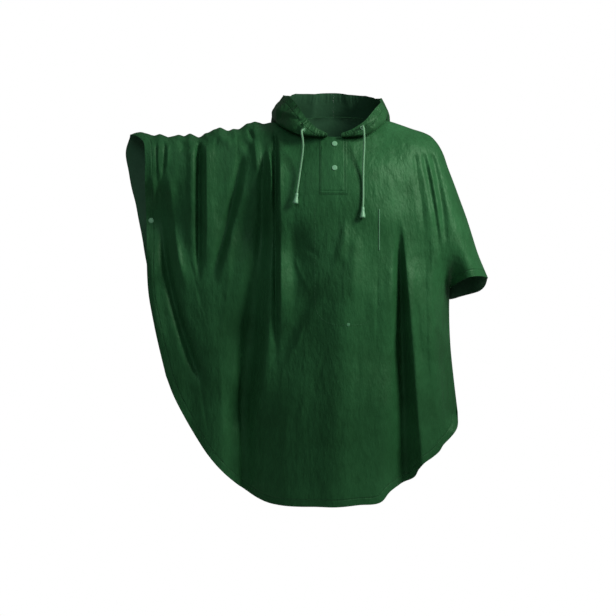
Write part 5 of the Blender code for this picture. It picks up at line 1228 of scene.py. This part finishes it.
# ------------------------------------------------------------------ the cloth pieces
def build_panel(name, panel, finishes):
    """A panel's body and its sleeve in one sheet. The body's grid is kept for the hood's seam."""
    body, sleeve = (panel.points(flat[..., 0], flat[..., 1]) for flat in panel_points(panel.edges, panel.back))
    across, down = runs(body)
    sleeve_across, sleeve_down = runs(sleeve)
    threads = [(across, down), (across[: len(sleeve), -1:] + sleeve_across, sleeve_down)]
    lines = {part: panel.points(line[:, 0], line[:, 1]) for part, line in free_edges(panel).items()}
    edges = [edge_distance(body, lines["body"]), edge_distance(sleeve, lines["rim"])]
    return cloth(name, [body, sleeve], threads, edges, panel.outward, finishes), body


def outline_rectangle(left, right, top, foot, corner=0.0, inset=0.0, steps=60):
    """Down the left, along the foot and up the right of a panel piece, with its lower corners rounded."""
    left, right, top, foot = left + inset, right - inset, top, foot + inset
    corner = max(corner - inset, 0.0)
    turns = np.linspace(0, math.pi / 2, 12)
    points = [(left, z) for z in np.linspace(top, foot + corner, steps)]
    points += [(left + corner * (1 - math.cos(t)), foot + corner * (1 - math.sin(t))) for t in turns[1:]]
    points += [(x, foot) for x in np.linspace(left + corner, right - corner, steps)[1:]]
    points += [(right - corner * (1 - math.sin(t)), foot + corner * (1 - math.cos(t))) for t in turns[1:]]
    points += [(right, z) for z in np.linspace(foot + corner, top, steps)[1:]]
    return np.array(points)


def build_placket(panel, finishes, thread):
    """A folded strip on the neck slit: pressed edges, doubled stitching at its foot and its left side."""
    across = np.linspace(PLACKET_LEFT, PLACKET_RIGHT, PLACKET_GRID[0])
    x, z = np.meshgrid(across, np.linspace(PLACKET_TOP, PLACKET_FOOT, PLACKET_GRID[1]))
    to_side, to_end = np.minimum(x - PLACKET_LEFT, PLACKET_RIGHT - x), np.minimum(PLACKET_TOP - z, z - PLACKET_FOOT)
    to_edge = np.minimum(to_side, to_end)
    to_stitches = np.minimum(PLACKET_RIGHT - x, z - PLACKET_FOOT) - PLACKET_STITCHES[1]
    pressed = 1 - STITCH_PRESS * soft_fold(to_stitches / STITCH_PRESS_REACH)
    puff = PLACKET_PUFF * smooth(to_edge / PLACKET_FOLD) * pressed
    grid = panel.lifted(x, z, (LAP + CLOTH_WALL + puff)[..., None])[0]
    placket = cloth("placket_cloth", [grid], [runs(grid)], [to_edge + NO_HEM], panel.outward, finishes)
    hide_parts("placket")
    lines = []
    for inset in PLACKET_STITCHES:
        start = PLACKET_TOP - PLACKET_STITCH_TOP
        path = evenly(outline_rectangle(PLACKET_LEFT, PLACKET_RIGHT, start, PLACKET_FOOT, inset=inset))
        if inset == PLACKET_STITCHES[1]:
            path = path[path[:, 0] > PLACKET_LEFT + inset + 1e-4]
        lines.append(panel.lifted(path[:, 0], path[:, 1], LAP + CLOTH_WALL + PLACKET_STITCH_LIFT))
    sewn = stitches("placket_stitches", lines, thread)


def build_pocket(panel, finishes, binding, thread):
    """The bag hangs inside; its outline is stitched through the front, and a bound welt is its mouth."""
    rows = []
    for z in np.linspace(POCKET_TOP, POCKET_FOOT, POCKET_GRID[1]):
        low = max(POCKET_FOOT + POCKET_CORNER - z, 0.0)
        inset = POCKET_CORNER - math.sqrt(max(POCKET_CORNER**2 - low**2, 0.0))
        rows.append([(x, z) for x in np.linspace(POCKET_LEFT + inset, POCKET_RIGHT - inset, POCKET_GRID[0])])
    flat = np.array(rows)
    grid = panel.lifted(flat[..., 0], flat[..., 1], -(CLOTH_WALL + BAG_GAP))[0]
    no_hem = np.full(grid.shape[:2], NO_HEM)
    bag = cloth("pocket_bag_cloth", [grid], [runs(grid)], [no_hem], panel.outward, finishes)
    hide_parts("pocket_bag")

    half = WELT_WIDTH / 2
    across = np.linspace(POCKET_RIGHT - half, POCKET_RIGHT + half, WELT_GRID[0])
    x, z = np.meshgrid(across, np.linspace(WELT_TOP, WELT_FOOT, WELT_GRID[1]))
    crown = WELT_CROWN * np.sqrt(np.maximum(1 - ((x - POCKET_RIGHT) / half) ** 2, 0))
    grid = panel.lifted(x, z, (LAP + CLOTH_WALL + crown)[..., None])[0]
    no_hem = np.full(x.shape, NO_HEM)
    welt = cloth("pocket_welt_binding", [grid], [runs(grid)[::-1]], [no_hem], panel.outward, [binding])
    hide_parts("pocket_welt")
    path = evenly(outline_rectangle(POCKET_LEFT, POCKET_RIGHT, POCKET_TOP, POCKET_FOOT, POCKET_CORNER))
    # The outline's stitches take a lighter thread, a painted highlight along the pocket's edge.
    stitches("pocket_stitches", [panel.lifted(path[:, 0], path[:, 1], POCKET_STITCH_LIFT)], thread)


# ------------------------------------------------------------------ hood
def neck_rim(grid, outward):
    """Where the hood's seam lies on a panel, just outside the neck cut."""
    edge = grid[0]
    normal = unit(np.cross(np.gradient(grid, axis=1), np.gradient(grid, axis=0))[0])
    normal *= np.sign((normal * outward).sum(-1, keepdims=True))
    away = unit(np.cross(np.gradient(edge, axis=0), normal))
    away *= np.sign((away * (edge - grid[1])).sum(-1, keepdims=True))
    return edge[:, 0], edge - away * HOOD_LAP + normal * HOOD_LIFT


def neck_ring(front, back, side):
    """The neck seam of one half, from the front's opening round to the middle of the back."""
    ring = []
    for grid, outward, start in ((front, (0, -1, 0), HOOD_OPENING), (back, (0, 1, 0), 0.0)):
        x, rim = neck_rim(grid, outward)
        first = [np.interp(side * start, x, rim[:, k]) for k in range(3)]
        rim = rim[(np.abs(x) < NECK_HALF_WIDTH - 1e-4) & (x * side > start + 5e-4)]
        ring.append(np.array([first, *rim[np.argsort(rim[:, 0] * side)]]))
    corner = [side * (NECK_HALF_WIDTH + HOOD_LAP), 0.0, NECK_SIDE_Z + HOOD_LIFT]
    ring = np.array([*ring[0], corner, *ring[1][::-1]])
    return np.insert(ring, np.arange(1, len(ring)), (ring[:-1] + ring[1:]) / 2, axis=0)


def ring_places(ring):
    """Place of every point of the ring: 0 at the front, 1 at the side, 2 at the back's middle."""
    run = run_of(ring)
    corner = run[np.argmin(np.abs(ring[:, 1]))]
    return np.where(run < corner, run / corner, 1 + (run - corner) / (run[-1] - corner))


def hood_section(section, neck):
    """Points of one section: neck seam, under layer, the turn where they are close, wall, face edge."""
    turn, wall, edge = (np.array(section[key]) for key in ("turn", "wall", "edge"))
    under = turn - (turn - neck) / np.linalg.norm(turn - neck) * section["round"]
    rise = turn + (wall - turn) / np.linalg.norm(wall - turn) * section["round"]
    points = np.array([neck, (neck + turn) / 2 + (0, 0, HOOD_SAG), under, rise, wall, edge])
    run = run_of(points)
    return through(points, np.interp(finer(HOOD_STEPS, HOOD_FINER), np.arange(len(points)), run / run[-1]))


def hood_grid(sections, folds, ring, side, panels):
    """A grid from the neck seam up to the face edge, and from the front round to the middle of the back."""
    run = ring_places(ring)
    places = np.array([section["neck"] for section in sections])
    necks = np.stack([np.interp(places, run, ring[:, k]) for k in range(3)], -1)
    outlines = [hood_section(*pair) for pair in zip(sections, necks)]
    mirrored = outlines[-2] * (-1, 1, 1)
    places = np.append(places, 2 * places[-1] - places[-2])
    grid = np.stack([spread(np.array(points), places, run) for points in zip(*outlines, mirrored)])

    across, down = np.meshgrid(run * HOOD_ROUND, finer(HOOD_STEPS, HOOD_FINER) * HOOD_RISE)
    normal = unit(np.cross(np.gradient(grid, axis=1), np.gradient(grid, axis=0)))
    down_lengths = runs(grid)[1]
    to_edge = down_lengths[-1:] - down_lengths
    lift = fold_depth(across, -down, folds, pressed_crease)
    # Waves of different lengths, so that the gathers along the casing are uneven.
    gather = np.sin(across * 760 + 2.2 * np.sin(across * 190)) + 0.6 * np.sin(across * 1210 + side)
    lift += GATHER_HEIGHT * gather * smooth(to_edge / GATHER_FROM) * smooth((GATHER_TO - to_edge) / GATHER_FADE)
    lift *= smooth((2.0 - run) / HOOD_FOLDS_END)[None, :] * smooth(down / HOOD_RISE / HOOD_FOLDS_FROM)
    outside = np.sign((normal[-2, :, 0] * grid[-2, :, 0] + normal[-2, :, 1] * grid[-2, :, 1]).sum())
    grid = grid + normal * outside * lift[..., None]
    for panel in panels:
        grid = panel.cleared(grid, HOOD_CLEARANCE)
    grid[0] = ring
    grid[:, -1, 0] = side * SEAM_GAP / 2
    return grid, to_edge


def build_hood(bodies, panels, finishes, thread):
    """Two halves, sewn together from the neck over the crown to the face edge, with a casing for the cord."""
    halves = (("right", HOOD_RIGHT, HOOD_FOLDS_RIGHT, -1), ("left", HOOD_LEFT, HOOD_FOLDS_LEFT, 1))
    for name, sections, folds, side in halves:
        grid, to_edge = hood_grid(sections, folds, neck_ring(*bodies, side), side, panels)
        piece = cloth(f"hood_{name}_cloth", [grid], [runs(grid)], [to_edge], (side, 0, 0), finishes)
        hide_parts(f"hood_{name}")
        sewn = stitches(f"hood_{name}_stitches", [casing_line(grid, to_edge, side)], thread)


def casing_line(grid, to_edge, side):
    """Where the casing's stitches run: at its width from the face edge, on the outer face."""
    normal = unit(np.cross(np.gradient(grid, axis=1), np.gradient(grid, axis=0)))
    normal *= np.sign((normal[len(normal) * 3 // 4, :, 0] * side).sum())
    line, up = [], []
    for j in range(grid.shape[1]):
        row = np.interp(CASING_WIDTH, to_edge[::-1, j], np.arange(grid.shape[0])[::-1])
        i, t = int(row), row - int(row)
        line.append(grid[i, j] * (1 - t) + grid[i + 1, j] * t)
        up.append(normal[i, j])
    up = np.array(up)
    return np.array(line) + up * STITCH_LIFT, up


# ------------------------------------------------------------------ build
def main():
    inside = coating("polyurethane_coating_inside", "#335f42", "#407052")
    nylon = [coated_nylon("pu_coated_nylon_taffeta", "#275934", "#316b41", HEM_WIDTH, 0.008), inside]
    # The hood is the panels' nylon in a darker copy: painted shade on the hood.
    shaded_hood_nylon = [coated_nylon("pu_coated_nylon_hood_painted_shade", "#244f2e", "#2d613a", CASING_WIDTH, 0.014), inside]
    thread = polyester_thread("spun_polyester_thread", "#1c4428", "#2f6b42")
    # The pocket's thread is lighter than the rest of the stitching: a painted highlight of its outline catching
    # light.
    pocket_thread_painted_highlight = polyester_thread("spun_polyester_thread_pocket_painted_highlight", "#3c7650", "#58946b")
    acetal = moulded_acetal("moulded_green_acetal", "#79b88f", "#83c298")
    rivet_acetal = moulded_acetal("moulded_green_acetal_rivet", "#55946b", "#5c9d73")
    braid = braided_polyester("braided_polyester_cord", "#5d9c70", "#82bd93", 4, 0.006)
    binding = braided_polyester("woven_polyester_binding", "#3f8055", "#52926a", 300, 0.0015)

    build_camera()
    cords = {side: build_drawcord(side, braid) for side in ("right", "left")}

    panels = (Panel(FRONT_STATIONS, FRONT_FOLDS, FRONT_CREASES, FRONT_EDGES, back=False),
              Panel(BACK_STATIONS, BACK_FOLDS, BACK_CREASES, BACK_EDGES, back=True))  # fmt: skip
    front_piece, front = build_panel("front_cloth", panels[0], nylon)
    back_piece, back = build_panel("back_cloth", panels[1], nylon)
    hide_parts("front_panel")
    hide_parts("back_panel")
    hems = [stitches(f"{name}_hem_stitches", hem_stitch_lines(panel), thread)
            for name, panel in zip(("front", "back"), panels)]  # fmt: skip
    build_placket(panels[0], nylon, thread)
    build_pocket(panels[0], nylon, binding, pocket_thread_painted_highlight)
    build_hood((front, back), panels, shaded_hood_nylon, thread)

    cap = snap_cap("snap_model", SNAP_RADIUS, SNAP_HEIGHT)
    for name in ("placket_snap_upper", "placket_snap_lower", "side_snap_right_front", "side_snap_right_back",
                 "side_snap_left_back"):  # fmt: skip
        lift = LAP + CLOTH_WALL + PLACKET_PUFF if name.startswith("placket") else 0.0
        stand = on_cloth(name, panels[name.endswith("back")], lift)
        placed(copied(cap, name + "_cap"), *stand, name, acetal, "snap")
    bpy.data.objects.remove(cap)
    rivet = snap_cap("pocket_rivet_cap", RIVET_RADIUS, RIVET_HEIGHT)
    placed(rivet, *on_cloth("pocket_rivet", panels[0], 0.0), "pocket_rivet", rivet_acetal, "snap")
    ring = eyelet_ring("eyelet_model")
    bell = cord_bell("bell_model")
    for side, (cord, centre) in cords.items():
        placed(copied(ring, f"eyelet_{side}_ring"), *stand_of(f"eyelet_{side}"), f"eyelet_{side}", acetal, "snap")
        way = unit(centre[-1] - centre[-2])
        foot = centre[-1] + way * BELL_GAP
        end = placed(copied(bell, f"cord_bell_{side}_end"), foot, way, f"cord_bell_{side}", acetal, "bell")
    bpy.data.objects.remove(ring)
    bpy.data.objects.remove(bell)

    build_floor(painted_studio("white_cove_paint", "#f2f2f0"))
    build_light()


main()
